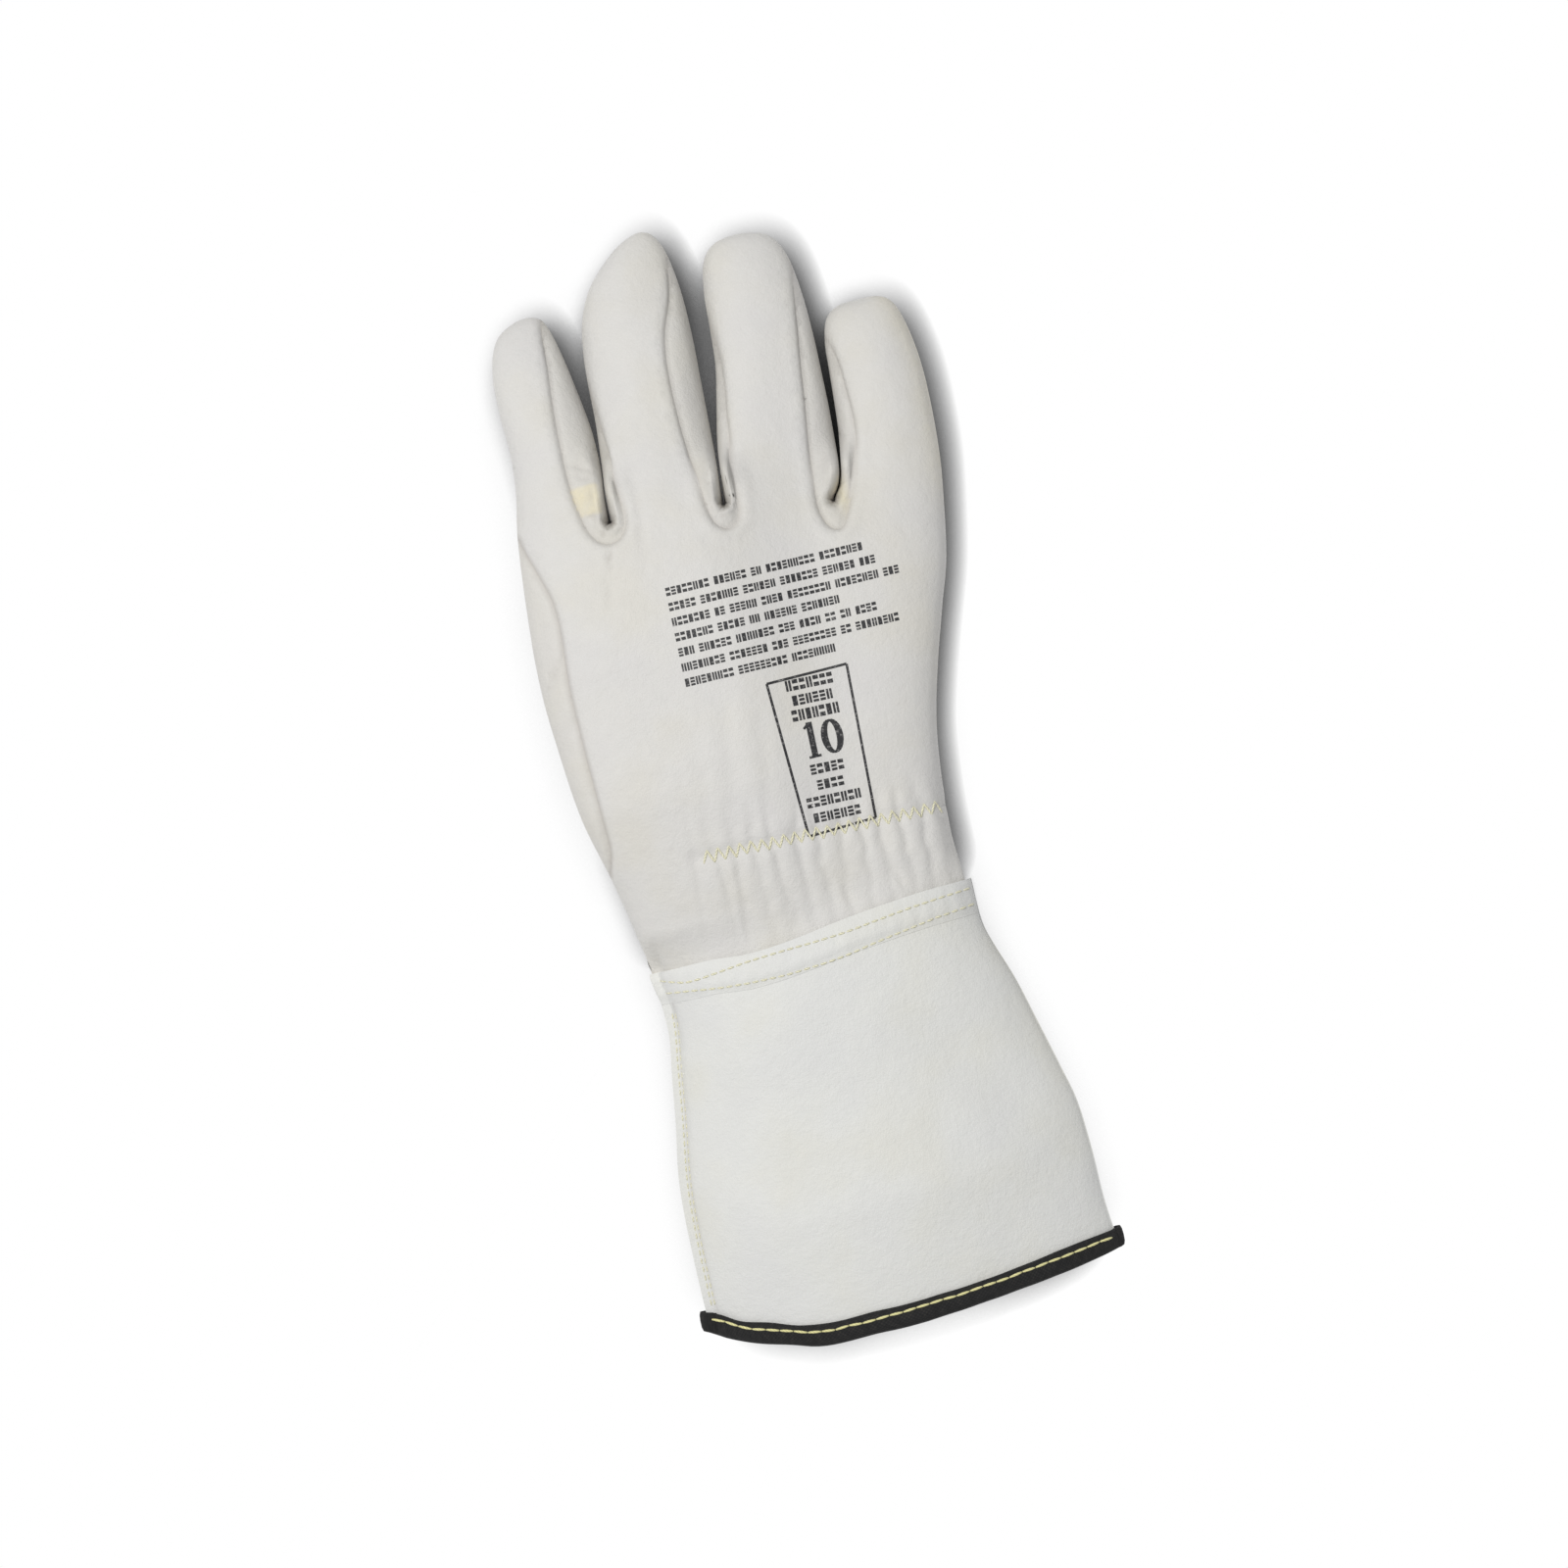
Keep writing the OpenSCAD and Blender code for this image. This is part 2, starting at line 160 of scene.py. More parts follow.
# Seams: the thumb's side, then round the side walls of each finger gap
SIDE_SEAM = curve([(-71.3, 250), (-69.6, 243), (-67, 235), (-64.9, 228), (-64.2, 220), (-64.6, 210),
                   (-65, 198), (-64.8, 185), (-64.3, 172), (-63.6, 158), (-63.4, 149), (-65.2, 141.5)])
GAP_SEAMS = [
    curve([(-50.7, 315), (-51.1, 301), (-52.1, 288), (-52.6, 275), (-52.3, 262), (-51.2, 253), (-49.6, 246.5),
           (-46.8, 242.4), (-43.4, 241.2), (-39.9, 242.4), (-37.6, 246.2), (-37.1, 252), (-37.9, 262),
           (-39, 273), (-39.7, 283), (-40.4, 292)]),
    curve([(-8.2, 326.6), (-9.3, 316), (-11.2, 309), (-13.4, 303), (-14.8, 295), (-15.2, 285), (-14.9, 273),
           (-14, 261), (-13, 249.5), (-11.6, 242.4), (-9.6, 239.3), (-7, 238.2), (-4.3, 239.4), (-2.4, 243),
           (-1.6, 251), (-1.5, 262), (-0.9, 273), (0.4, 283), (1, 293), (0.3, 304.5)]),
    curve([(28.8, 317), (28.4, 308), (27.3, 297), (25.9, 287), (24.6, 275), (23, 263), (21.6, 251), (21, 241),
           (21.7, 235.6), (23.4, 232.4), (25.7, 231.3), (28, 232.6), (29.9, 236.6), (32, 242), (34.7, 248.5),
           (36.6, 256), (37.2, 264.5), (36.7, 274), (36, 283), (34.4, 291.5)])]


def outline_index(p):
    return int(np.linalg.norm(OUTLINE - p, axis=1).argmin())


SEAMS = [SIDE_SEAM] + GAP_SEAMS
for seam in SEAMS:      # their ends meet the outline
    seam[0] = OUTLINE[outline_index(seam[0])]
    seam[-1] = OUTLINE[outline_index(seam[-1])]
GAPS = [np.vstack([s, OUTLINE[outline_index(s[0]):outline_index(s[-1])][::-1]]) for s in GAP_SEAMS]
THUMB_SIDE = np.vstack([SIDE_SEAM, OUTLINE[outline_index(SIDE_SEAM[-1]):outline_index(SIDE_SEAM[0])]])

# Where the panels are split for the joints: each finger's two cuts, the wrist and the heel
ELASTIC_Y = 141.5
HEEL_Y = 150.0
ROOT_CUTS = [[(-78, 248), CROTCHES[0]], [CROTCHES[0], CROTCHES[1]], [CROTCHES[1], CROTCHES[2]],
             [CROTCHES[2], (68, 241)]]
MIDDLE_CUTS = [((-76, -41.8), 271.0), ((-41.8, -5.6), 278.5), ((-4.6, 31.9), 273.0), ((31.9, 68), 260.5)]
CUT_LINES = [np.array(c, float) for c in ROOT_CUTS] \
    + [np.array([(x[0], y), (x[1], y)], float) for x, y in MIDDLE_CUTS] \
    + [np.array([(-80, y), (60, y)], float) for y in (ELASTIC_Y, HEEL_Y)]


# ---------------------------------------------------------------- the cuff's shape

CUFF_EDGE = {"left": curve([(-64.6, -8), (-65, 10), (-65, 30), (-64.2, 45), (-61.8, 62), (-59.6, 80),
                            (-58, 92), (-58.4, 103), (-60, 112)], 2),
             "right": curve([(64.4, -8), (63, 6), (62.5, 22), (61.2, 38), (58.4, 50), (54.8, 64), (50.5, 80),
                             (46.5, 91), (44.3, 98), (43.6, 105), (43.4, 117)], 2)}
HEM_LOW = curve([(-66, -2), (-60, -5.2), (-50, -8.8), (-40, -10.8), (-32, -12.9), (-20, -12.7), (0, -12),
                 (20, -10), (35, -8), (50, -6), (66, -3)], 2)
HEM_HIGH = curve([(-66, 4.2), (-60, 2.5), (-54, -0.8), (-45, -2.8), (-36, -5.3), (-28, -6), (-15, -5.6),
                  (0, -5), (20, -3.3), (38, -0.6), (50, 1.2), (66, 3.2)], 2)
CUFF_TOP = curve([(-62, 108.8), (-50, 109.4), (-40, 109.8), (-30, 109.3), (-20, 110), (-10, 111.5),
                  (0, 113.3), (10, 114.8), (20, 116), (30, 116.9), (46, 117.5)], 2)

FLANGE = 3.2         # flat seam allowance on the thumb's side
CUFF_MID = 15.0      # height of the cuff's side seams
MOUTH_Y = -8.0       # where the cuff's two edge lines start, and how far they run
CUFF_RUN = 121.0
HEM_START = 0.915    # share of that run where the doubled hem begins
HEM_LEATHER = 0.9    # thickness of the hem's strip
CUFF_COLUMNS = 76    # points across each side of the cuff


def at_x(line, x):
    return np.interp(x, line[:, 0], line[:, 1])


def at_edge(side, y):
    return np.interp(y, CUFF_EDGE[side][:, 1], CUFF_EDGE[side][:, 0])


def cuff_point(u, t, side):
    """u runs across from the thumb's side (-1) to the other (1), t from the mouth (0) to the top (1)."""
    y = MOUTH_Y + CUFF_RUN * t
    left, right = at_edge("left", y), at_edge("right", y)
    x = (left + right) / 2 + (right - left) / 2 * u
    inner = np.clip((x - left - FLANGE) / (right - left - FLANGE - 0.4), 0, 1) * 2 - 1
    a = np.interp(t, [0, 0.6, 1], [2.1, 2.3, 2.7])
    b = np.interp(t, [0, 0.6, 1], [1.35, 1.6, 2.3])
    shape = np.maximum(1 - np.abs(inner) ** a, 0) ** (1 / b)
    high = np.interp(t, [0, 0.3, 0.85, 1], [12.6, 16.4, 16.6, 15.8])
    real_y = (at_x(HEM_LOW, x) + 2.2) * (1 - t) + at_x(CUFF_TOP, x) * t
    z = CUFF_MID + side + side * shape * (high if side > 0 else CUFF_MID - 1.4)
    return np.stack([x, real_y, np.broadcast_to(z, x.shape)], -1)


def cuff_room(p):
    """Lowest and highest the hand's tail may lie inside the cuff's upper end, and how much that counts."""
    left, right = at_edge("left", 108), at_edge("right", 112)
    u = np.clip((p[:, 0] - (left + right) / 2) / ((right - left) / 2), -1, 1)
    t = np.full(len(p), 0.96)
    gap = LEATHER + 0.6
    low = np.minimum(cuff_point(u, t, -1)[:, 2] + gap, CUFF_MID)
    high = np.maximum(cuff_point(u, t, 1)[:, 2] - gap, CUFF_MID)
    return low, high, ease((at_x(CUFF_TOP, p[:, 0]) + 13 - p[:, 1]) / 13)


# ---------------------------------------------------------------- how far the leather swells

CELL = 1.0
REACH = 12.0         # how fast the swelling levels off away from an edge
PLUMP = 0.95         # share of the solved height that is used
SWEEPS = 900         # rounds of the solver


def solve_swelling():
    """Height field like a skin blown up over the outline: flat far inside, zero at the edge."""
    gx, gy = np.arange(-80, 70, CELL), np.arange(70, 342, CELL)
    pts = np.stack(np.meshgrid(gx, gy), -1).reshape(-1, 2)
    long_outline = np.vstack([OUTLINE, [(40.6, 60), (-56.8, 60)]])
    mask = inside(long_outline, pts).reshape(len(gy), len(gx))
    phi = np.zeros(mask.shape)
    for _ in range(SWEEPS):
        around = np.roll(phi, 1, 0) + np.roll(phi, -1, 0) + np.roll(phi, 1, 1) + np.roll(phi, -1, 1)
        phi = np.where(mask, (around + CELL ** 2) / (4 + (CELL / REACH) ** 2), 0)
    phi[0] = phi[1]
    return gx[0], gy[0], phi


GRID_X, GRID_Y, PHI = solve_swelling()


def phi_at(p):
    u, v = (p[:, 0] - GRID_X) / CELL, (p[:, 1] - GRID_Y) / CELL
    i = np.clip(u.astype(int), 0, PHI.shape[1] - 2)
    j = np.clip(v.astype(int), 0, PHI.shape[0] - 2)
    fu, fv = u - i, v - j
    return ((PHI[j, i] * (1 - fu) + PHI[j, i + 1] * fu) * (1 - fv)
            + (PHI[j + 1, i] * (1 - fu) + PHI[j + 1, i + 1] * fu) * fv)


def edge_slopes():
    """How steeply the field leaves each outline vertex, evened out along the outline."""
    tangent = np.gradient(OUTLINE, axis=0)
    tangent /= np.linalg.norm(tangent, axis=1)[:, None]
    inward = np.stack([tangent[:, 1], -tangent[:, 0]], 1)
    deep = 3.0
    g = (phi_at(OUTLINE + inward * deep) + deep ** 2 / 2) / deep
    for c in CROTCHES:                      # neighbouring fingers press their side walls upright
        g *= 1 + 0.5 * bump(OUTLINE_RUN - OUTLINE_RUN[outline_index(c)], 15)
    kernel = np.hanning(13)[1:-1]
    return inward, np.convolve(np.pad(g, 5, mode="edge"), kernel / kernel.sum(), mode="valid")


OUTLINE_RUN = np.concatenate([[0], np.cumsum(np.linalg.norm(np.diff(OUTLINE, axis=0), axis=1))])
INWARD, SLOPE = edge_slopes()


def swell(p):
    """Height over the middle sheet, and distance from the outline."""
    d, along = nearest(OUTLINE, p)
    g = np.interp(along, OUTLINE_RUN, SLOPE)
    near = np.maximum(2 * g * d - d * d, 0)
    far = 2 * np.maximum(phi_at(p), 0)
    w = ease((d - 1.5) / 3)
    return PLUMP * np.sqrt(near * (1 - w) + far * w), d


def thumb_side(x):
    return ease((18 - x) / 36)


def middle_sheet(p):
    x, y = p[:, 0], p[:, 1]
    flat = np.interp(y, [103, 128, 150, 170, 215, 240, 250, 275, 300, 335],
                     [14.6, 15.6, 16.5, 17.5, 16, 13.5, 12, 11, 10.3, 10])
    raised = np.interp(y, [103, 125, 140, 160, 226, 250, 316], [1, 2.2, 4.6, 7.1, 7.2, 8, 0])
    web = np.zeros(len(p))                  # the walls of two fingers are pinched together over each crotch
    for (cx, cy), lean in zip(CROTCHES, (0.04, 0.02, 0.34)):
        web += 8.5 * bump(y - cy - 9.5, 6) * bump(x - cx - lean * (y - cy), 4.5)
    return flat + raised * thumb_side(x) + web


def underside(p):
    """Height of the palm's flat underside: it lies on the thumb on that side."""
    x, y = p[:, 0], p[:, 1]
    return np.interp(y, [143, 147, 152, 155, 226, 250, 316], [0, 3, 12.6, 13.4, 13.4, 8.6, 0]) * thumb_side(x)


# ---------------------------------------------------------------- triangles over the outline

class Scatter:
    """Points that keep clear of each other."""

    def __init__(self):
        self.cells, self.points = {}, []

    def clear_of(self, p, r):
        n = math.ceil(r)
        cx, cy = math.floor(p[0]), math.floor(p[1])
        for i in range(cx - n, cx + n + 1):
            for j in range(cy - n, cy + n + 1):
                for q in self.cells.get((i, j), ()):
                    if (q[0] - p[0]) ** 2 + (q[1] - p[1]) ** 2 < r * r:
                        return False
        return True

    def add(self, pts, r=0.0):
        for p in pts:
            if r == 0 or self.clear_of(p, r):
                self.cells.setdefault((math.floor(p[0]), math.floor(p[1])), []).append(p)
                self.points.append(p)


def hexagons(step, x0, x1, y0, y1):
    """Points of a triangular grid over a rectangle."""
    rows = np.arange(y0, y1, step * math.sqrt(3) / 2)
    columns = np.arange(x0, x1, step)
    return np.array([(x + (k % 2) * step / 2, y) for k, y in enumerate(rows) for x in columns])


def build_sheet():
    """Points and triangles over the whole outline, with every seam and cut as an edge."""
    scatter = Scatter()
    edges = []

    def add_line(line, closed=False):
        first = len(scatter.points)
        scatter.add(line)
        edges.extend((first + k, first + k + 1) for k in range(len(line) - 1))
        if closed:
            edges.append((first + len(line) - 1, first))

    floor_line = np.linspace(OUTLINE[-1], OUTLINE[0], 70)[1:-1]
    add_line(np.vstack([OUTLINE, floor_line]), closed=True)
    for seam in SEAMS:
        add_line(seam)
    for cut in CUT_LINES:
        add_line(evenly(cut, 1.5)[0])
    for deep in (0.07, 0.28, 0.7, 1.3, 2.1, 3.1):
        ring = OUTLINE + INWARD * deep
        ring = ring[np.abs(nearest(OUTLINE, ring)[0] - deep) < 0.12 * deep]
        scatter.add(ring[inside(OUTLINE, ring)], min(0.8 * deep, 0.95))
    for seam in SEAMS:
        tangent = np.gradient(seam, axis=0)
        across = np.stack([-tangent[:, 1], tangent[:, 0]], 1) / np.linalg.norm(tangent, axis=1)[:, None]
        for off in (0.45, 0.95, 1.6, 2.4):
            for side in (-1, 1):
                row = seam + across * off * side
                row = row[(nearest(OUTLINE, row)[0] > 0.5 * off) & (nearest(seam, row)[0] > 0.9 * off)]
                scatter.add(row[inside(OUTLINE, row)], min(0.8 * off, 0.9))
    for step, area in ((1.15, (-56, 44, 228, 326)), (1.2, (-60, 45, 106, 160)), (1.5, (-56, 44, 220, 262)),
                       (2.0, (-80, 70, WRIST_END, 336))):
        field = hexagons(step, *area)
        field = field[inside(OUTLINE, field)]
        if step == 1.15:                    # only over the side walls
            field = field[np.any([inside(g, field) for g in GAPS], axis=0)]
        scatter.add(field[nearest(OUTLINE, field)[0] > (3.4 if step > 1.15 else 1.2)], 0.75 * step)
    flat = [Vector((float(p[0]), float(p[1]))) for p in scatter.points]
    verts, _, faces, *_ = delaunay_2d_cdt(flat, edges, [], 0, 1e-5)
    xy = np.array([tuple(v) for v in verts])
    tris = np.array([f for f in faces if len(f) == 3])
    centre = xy[tris].mean(1)
    keep = inside(OUTLINE, centre) & (centre[:, 1] > WRIST_END)
    tris = tris[keep]
    a, b, c = (xy[tris[:, k]] for k in range(3))
    turn = (b[:, 0] - a[:, 0]) * (c[:, 1] - a[:, 1]) - (b[:, 1] - a[:, 1]) * (c[:, 0] - a[:, 0])
    tris[turn < 0] = tris[turn < 0][:, ::-1]
    return xy, tris[np.abs(turn) > 1e-7]


def smooth_normals(verts, tris):
    """Vertex normals, with each triangle counted by its angle there."""
    out = np.zeros_like(verts)
    p = verts[tris]
    face = np.cross(p[:, 1] - p[:, 0], p[:, 2] - p[:, 0])
    face /= np.maximum(np.linalg.norm(face, axis=1), 1e-12)[:, None]
    for k in range(3):
        u, v = p[:, (k + 1) % 3] - p[:, k], p[:, (k + 2) % 3] - p[:, k]
        cos = (u * v).sum(1) / np.maximum(np.linalg.norm(u, axis=1) * np.linalg.norm(v, axis=1), 1e-12)
        np.add.at(out, tris[:, k], face * np.arccos(np.clip(cos, -1, 1))[:, None])
    return out / np.maximum(np.linalg.norm(out, axis=1), 1e-12)[:, None]


def line_fold(p, a, b, width):
    """A straight soft fold between two points, fading at its ends."""
    d, along = nearest(np.array([a, b], float), p)
    size = math.dist(a, b)
    return bump(d, width) * np.sin(np.pi * np.clip(along / size, 0.05, 0.95))


# Creases of the back: from, to, width, depth and how much shade is painted along the line
CREASES = [((-43.6, 241), (-45.6, 232.5), 0.6, 1.0, 0.5), ((-45.4, 234), (-47.5, 220), 1.6, 0.5, 0.0),
           ((-42.7, 247), (-46.4, 243.2), 0.5, 0.9, 0.5), ((-32, 268), (-34.8, 226), 1.5, 0.45, 0.1),
           ((-7.2, 245.5), (-8.4, 241.2), 0.5, 0.6, 0.3), ((26.0, 240), (26.9, 236), 0.5, 0.6, 0.4),
           ((-18, 196), (-24, 150), 2.6, 0.5, 0.0), ((-9, 190), (-13, 146), 2.0, 0.45, 0.0),
           ((-30, 180), (-32, 150), 2.4, 0.35, 0.0), ((-52.5, 269), (-43.0, 263.5), 0.8, 0.8, 0.25),
           ((-52.3, 265.5), (-43.2, 260.5), 0.6, 0.6, 0.2), ((-51.6, 258), (-44, 255.5), 0.8, 0.4, 0.1),
           ((-50.8, 252.2), (-44.0, 249.2), 0.5, 0.7, 0.45), ((-65.2, 210), (-71.5, 200), 1.0, 1.3, 0.35),
           ((-64.6, 190), (-70, 186), 1.6, 0.5, 0.0), ((-65.3, 217), (-70.8, 222), 1.6, 0.5, 0.0),
           ((31.5, 268), (33, 256), 0.5, 0.4, 0.2), ((27, 243.5), (32.5, 246.5), 0.5, 0.5, 0.3),
           ((18, 320), (25, 250), 6.0, 0.2, 0.0), ((-27, 128), (-27.6, 110.5), 0.8, 0.9, 0.15),
           ((-12, 126), (-11, 112), 0.9, 0.8, 0.1), ((4, 128), (6, 114), 0.9, 0.7, 0.0),
           ((20, 130), (23, 117), 0.9, 0.7, 0.0)]


def gathers(p):
    """Pleats that the elastic pulls into the back of the wrist."""
    x, y = p[:, 0], p[:, 1]
    shifted = x + 2.6 * wobble(np.stack([x, y * 0.35], 1), 9, 3.1) + 1.2 * wobble(p, 5, 8.7)
    pleat = np.abs(np.sin(np.pi * shifted / 6.4)) ** 0.7 - 0.62
    below = np.where(y < ELASTIC_Y, 0.3 + 0.7 * ease((y - 112) / 26), 0) * ease((y - 106) / 8)
    above = np.where(y >= ELASTIC_Y, 0.75 * (1 - ease((y - ELASTIC_Y) / 17)), 0)
    pleat = pleat * (below + above) * ease((x + 46) / 12) * ease((46 - x) / 8)
    return pleat * (0.75 + 0.5 * wobble(p, 13, 5.5))


def back_relief(p, d_edge, in_gap):
    """How far the upper skin stands off the smooth swelling, and the shade painted into its seams, creases
    and pinch holes.
    """
    lift = 0.55 * wobble(p, 34, 1.3) + 0.22 * wobble(p, 12, 2.2) + 0.07 * wobble(p, 5, 4.4)
    painted_shade = np.zeros(len(p))
    for k, seam in enumerate(SEAMS):
        d, along = nearest(seam, p)
        fade = ease(d_edge / 1.5)
        wall = np.where(d < 0.05, 0.5, in_gap)      # on the seam itself, half way
        lift -= fade * 0.6 * bump(d, 0.8) * (1 + 0.12 * np.sin(2 * np.pi * along / 3.3))
        lift += fade * 0.42 * bump(d - 2.3, 1.6) * (1 - 0.75 * wall)
        if k:
            lift -= fade * 0.75 * bump(d, 3.0) * wall
        # painted shade along the seam's crease, stronger on the thumb's side seam
        painted_shade = np.maximum(painted_shade, bump(d, 0.55) * (0.45 if k else 0.8))
    for c in CROTCHES:                      # a pinch hole in each crotch
        d = np.linalg.norm(p - c, axis=1)
        lift -= 0.6 * bump(d - 1.2, 1.2)
        # painted shade in the pinch hole
        painted_shade = np.maximum(painted_shade, 1.5 * bump(d, 1.25))
    lift += 1.7 * gathers(p)
    lift -= 0.8 * bump(p[:, 1] - ELASTIC_Y, 2.0) * ease((p[:, 0] + 44) / 8)
    for a, b, width, depth, dark in CREASES:
        fold = line_fold(p, a, b, width)
        lift -= depth * fold
        # painted shade along the crease, as dark as the table's last column
        painted_shade = np.maximum(painted_shade, dark * fold)
    return lift, painted_shade


def yellowing(p, d_edge):
    """Where the hide is left yellowish: in two of the crotches and along the little finger's outer edge."""
    patch = ease((p[:, 1] - 250.6) / 1.2) * ease((261 - p[:, 1]) / 1.5)
    patch = patch * inside(GAPS[0], p) * (p[:, 0] < -43.2)
    low = bump(np.linalg.norm((p - (29.3, 241.5)) / (2.2, 5.0), axis=1), 1.0) * inside(GAPS[2], p)
    outer = 0.30 * bump(d_edge, 5) * ease((p[:, 0] - 47) / 9) * ease((p[:, 1] - 225) / 25)
    return np.clip(0.62 * patch + 0.6 * low + outer, 0, 1)


XY, TRIS = build_sheet()
HEIGHT, EDGE_D = swell(XY)
IN_GAP = np.any([inside(g, XY) for g in GAPS], axis=0)
ON_EDGE = EDGE_D < 1e-3


def build_skins():
    """Upper and lower skin as one welded mesh, with what each of its points carries."""
    n = len(XY)
    mid = middle_sheet(XY)
    cuff_low, cuff_high, tucked = cuff_room(XY)
    z = mid + HEIGHT * (1 - 0.1 * ease((132 - XY[:, 1]) / 24))
    top = np.column_stack([XY, z + tucked * (cuff_high - z)])
    room = mid - underside(XY)
    q = np.clip(HEIGHT / (0.85 * room), 0, 1)
    z = mid - room * np.sqrt(1 - (1 - q) ** 2)
    under = np.column_stack([XY, z + tucked * (np.maximum(z, cuff_low) - z)])
    tight = np.clip(0.4 * (top[:, 2] - under[:, 2]), 0.1, LEATHER)      # thinner where the cuff pinches both
    depth = LEATHER + tucked * (tight - LEATHER)
    joined = (top[:, 2] + under[:, 2]) / 2
    top[ON_EDGE, 2] = joined[ON_EDGE]
    lower_id = np.where(ON_EDGE, np.arange(n), np.arange(n) + n)
    verts = np.vstack([top, under])
    upper, lower = TRIS, lower_id[TRIS][:, ::-1]
    both = np.vstack([upper, lower])
    normals = smooth_normals(verts, both)
    lift, painted_shade = back_relief(XY, EDGE_D, IN_GAP)
    soft = ease(EDGE_D / 4)
    under_lift = 0.25 * wobble(XY, 15, 6.6)
    for seam in GAP_SEAMS:
        under_lift -= 0.7 * bump(nearest(seam, XY)[0], 0.8)
    shift = np.concatenate([lift * (0.25 + 0.75 * soft), under_lift * soft])
    verts = verts + normals * shift[:, None]
    verts[:, 2] = np.maximum(verts[:, 2], ABOVE_FLOOR)
    normals = smooth_normals(verts, both)
    tint = yellowing(XY, EDGE_D)
    # painted shade of seams, creases and pinch holes, weaker on the underside
    painted_shades, tints = np.concatenate([painted_shade, 0.6 * painted_shade]), np.concatenate([tint, 0.4 * tint])
    return verts, normals, upper, lower, painted_shades, tints, np.tile(depth, 2)


# Points, normals, each side's triangles, how much shade is painted at seams, creases and pinch holes, how
# yellow the hide is, how thick it is
SKIN, SKIN_N, UPPER, LOWER, PAINTED_SHADE, TINT, DEPTH = build_skins()


# ---------------------------------------------------------------- materials

def material(name, colour, roughness, build=None, **sockets):
    """Principled material; sockets are named with _ for a space, and build adds its own nodes."""
    m = bpy.data.materials.new(name)
    m.use_nodes = True
    tree = m.node_tree
    shader = tree.nodes["Principled BSDF"]
    shader.inputs["Base Color"].default_value = (*colour, 1)
    shader.inputs["Roughness"].default_value = roughness
    for key, value in sockets.items():
        shader.inputs[key.replace("_", " ")].default_value = value
    if build:
        build(tree, shader)
    return m


def plug(tree, socket, value):
    """Link another node's output to the socket, or set its plain value; three numbers are a colour."""
    if isinstance(value, bpy.types.NodeSocket):
        tree.links.new(value, socket)
    elif socket.type == "RGBA" and len(value) == 3:
        socket.default_value = (*value, 1)
    else:
        socket.default_value = value


def node(tree, kind, inputs=None, **props):
    n = tree.nodes.new(kind)
    for key, value in props.items():
        setattr(n, key, value)
    for key, value in (inputs or {}).items():
        plug(tree, n.inputs[key], value)
    return n


def noise_map(tree, where, scale, detail, **sockets):
    inputs = {"Vector": where, "Scale": scale, "Detail": detail, **sockets}
    return node(tree, "ShaderNodeTexNoise", inputs).outputs["Fac"]


def attribute(tree, name):
    return node(tree, "ShaderNodeAttribute", attribute_name=name)


def ramp(tree, factor, stops):
    n = node(tree, "ShaderNodeValToRGB", {"Fac": factor})
    while len(n.color_ramp.elements) < len(stops):
        n.color_ramp.elements.new(0.5)
    for e, (pos, colour) in zip(n.color_ramp.elements, stops):
        e.position = pos
        e.color = (*colour, 1)
    return n.outputs["Color"]


def mix_colour(tree, factor, a, b, blend="MIX"):
    n = node(tree, "ShaderNodeMix", data_type="RGBA", blend_type=blend)
    for key, value in (("Factor", factor), ("A", a), ("B", b)):
        plug(tree, n.inputs[key], value)
    return n.outputs["Result"]


def maths(tree, operation, a, b=0.0):
    return node(tree, "ShaderNodeMath", {0: a, 1: b}, operation=operation).outputs[0]


def relief(tree, shader, height, strength, distance):
    """Fine relief from a height, over a distance in metres."""
    bumps = node(tree, "ShaderNodeBump", {"Height": height, "Strength": strength, "Distance": distance})
    tree.links.new(bumps.outputs["Normal"], shader.inputs["Normal"])


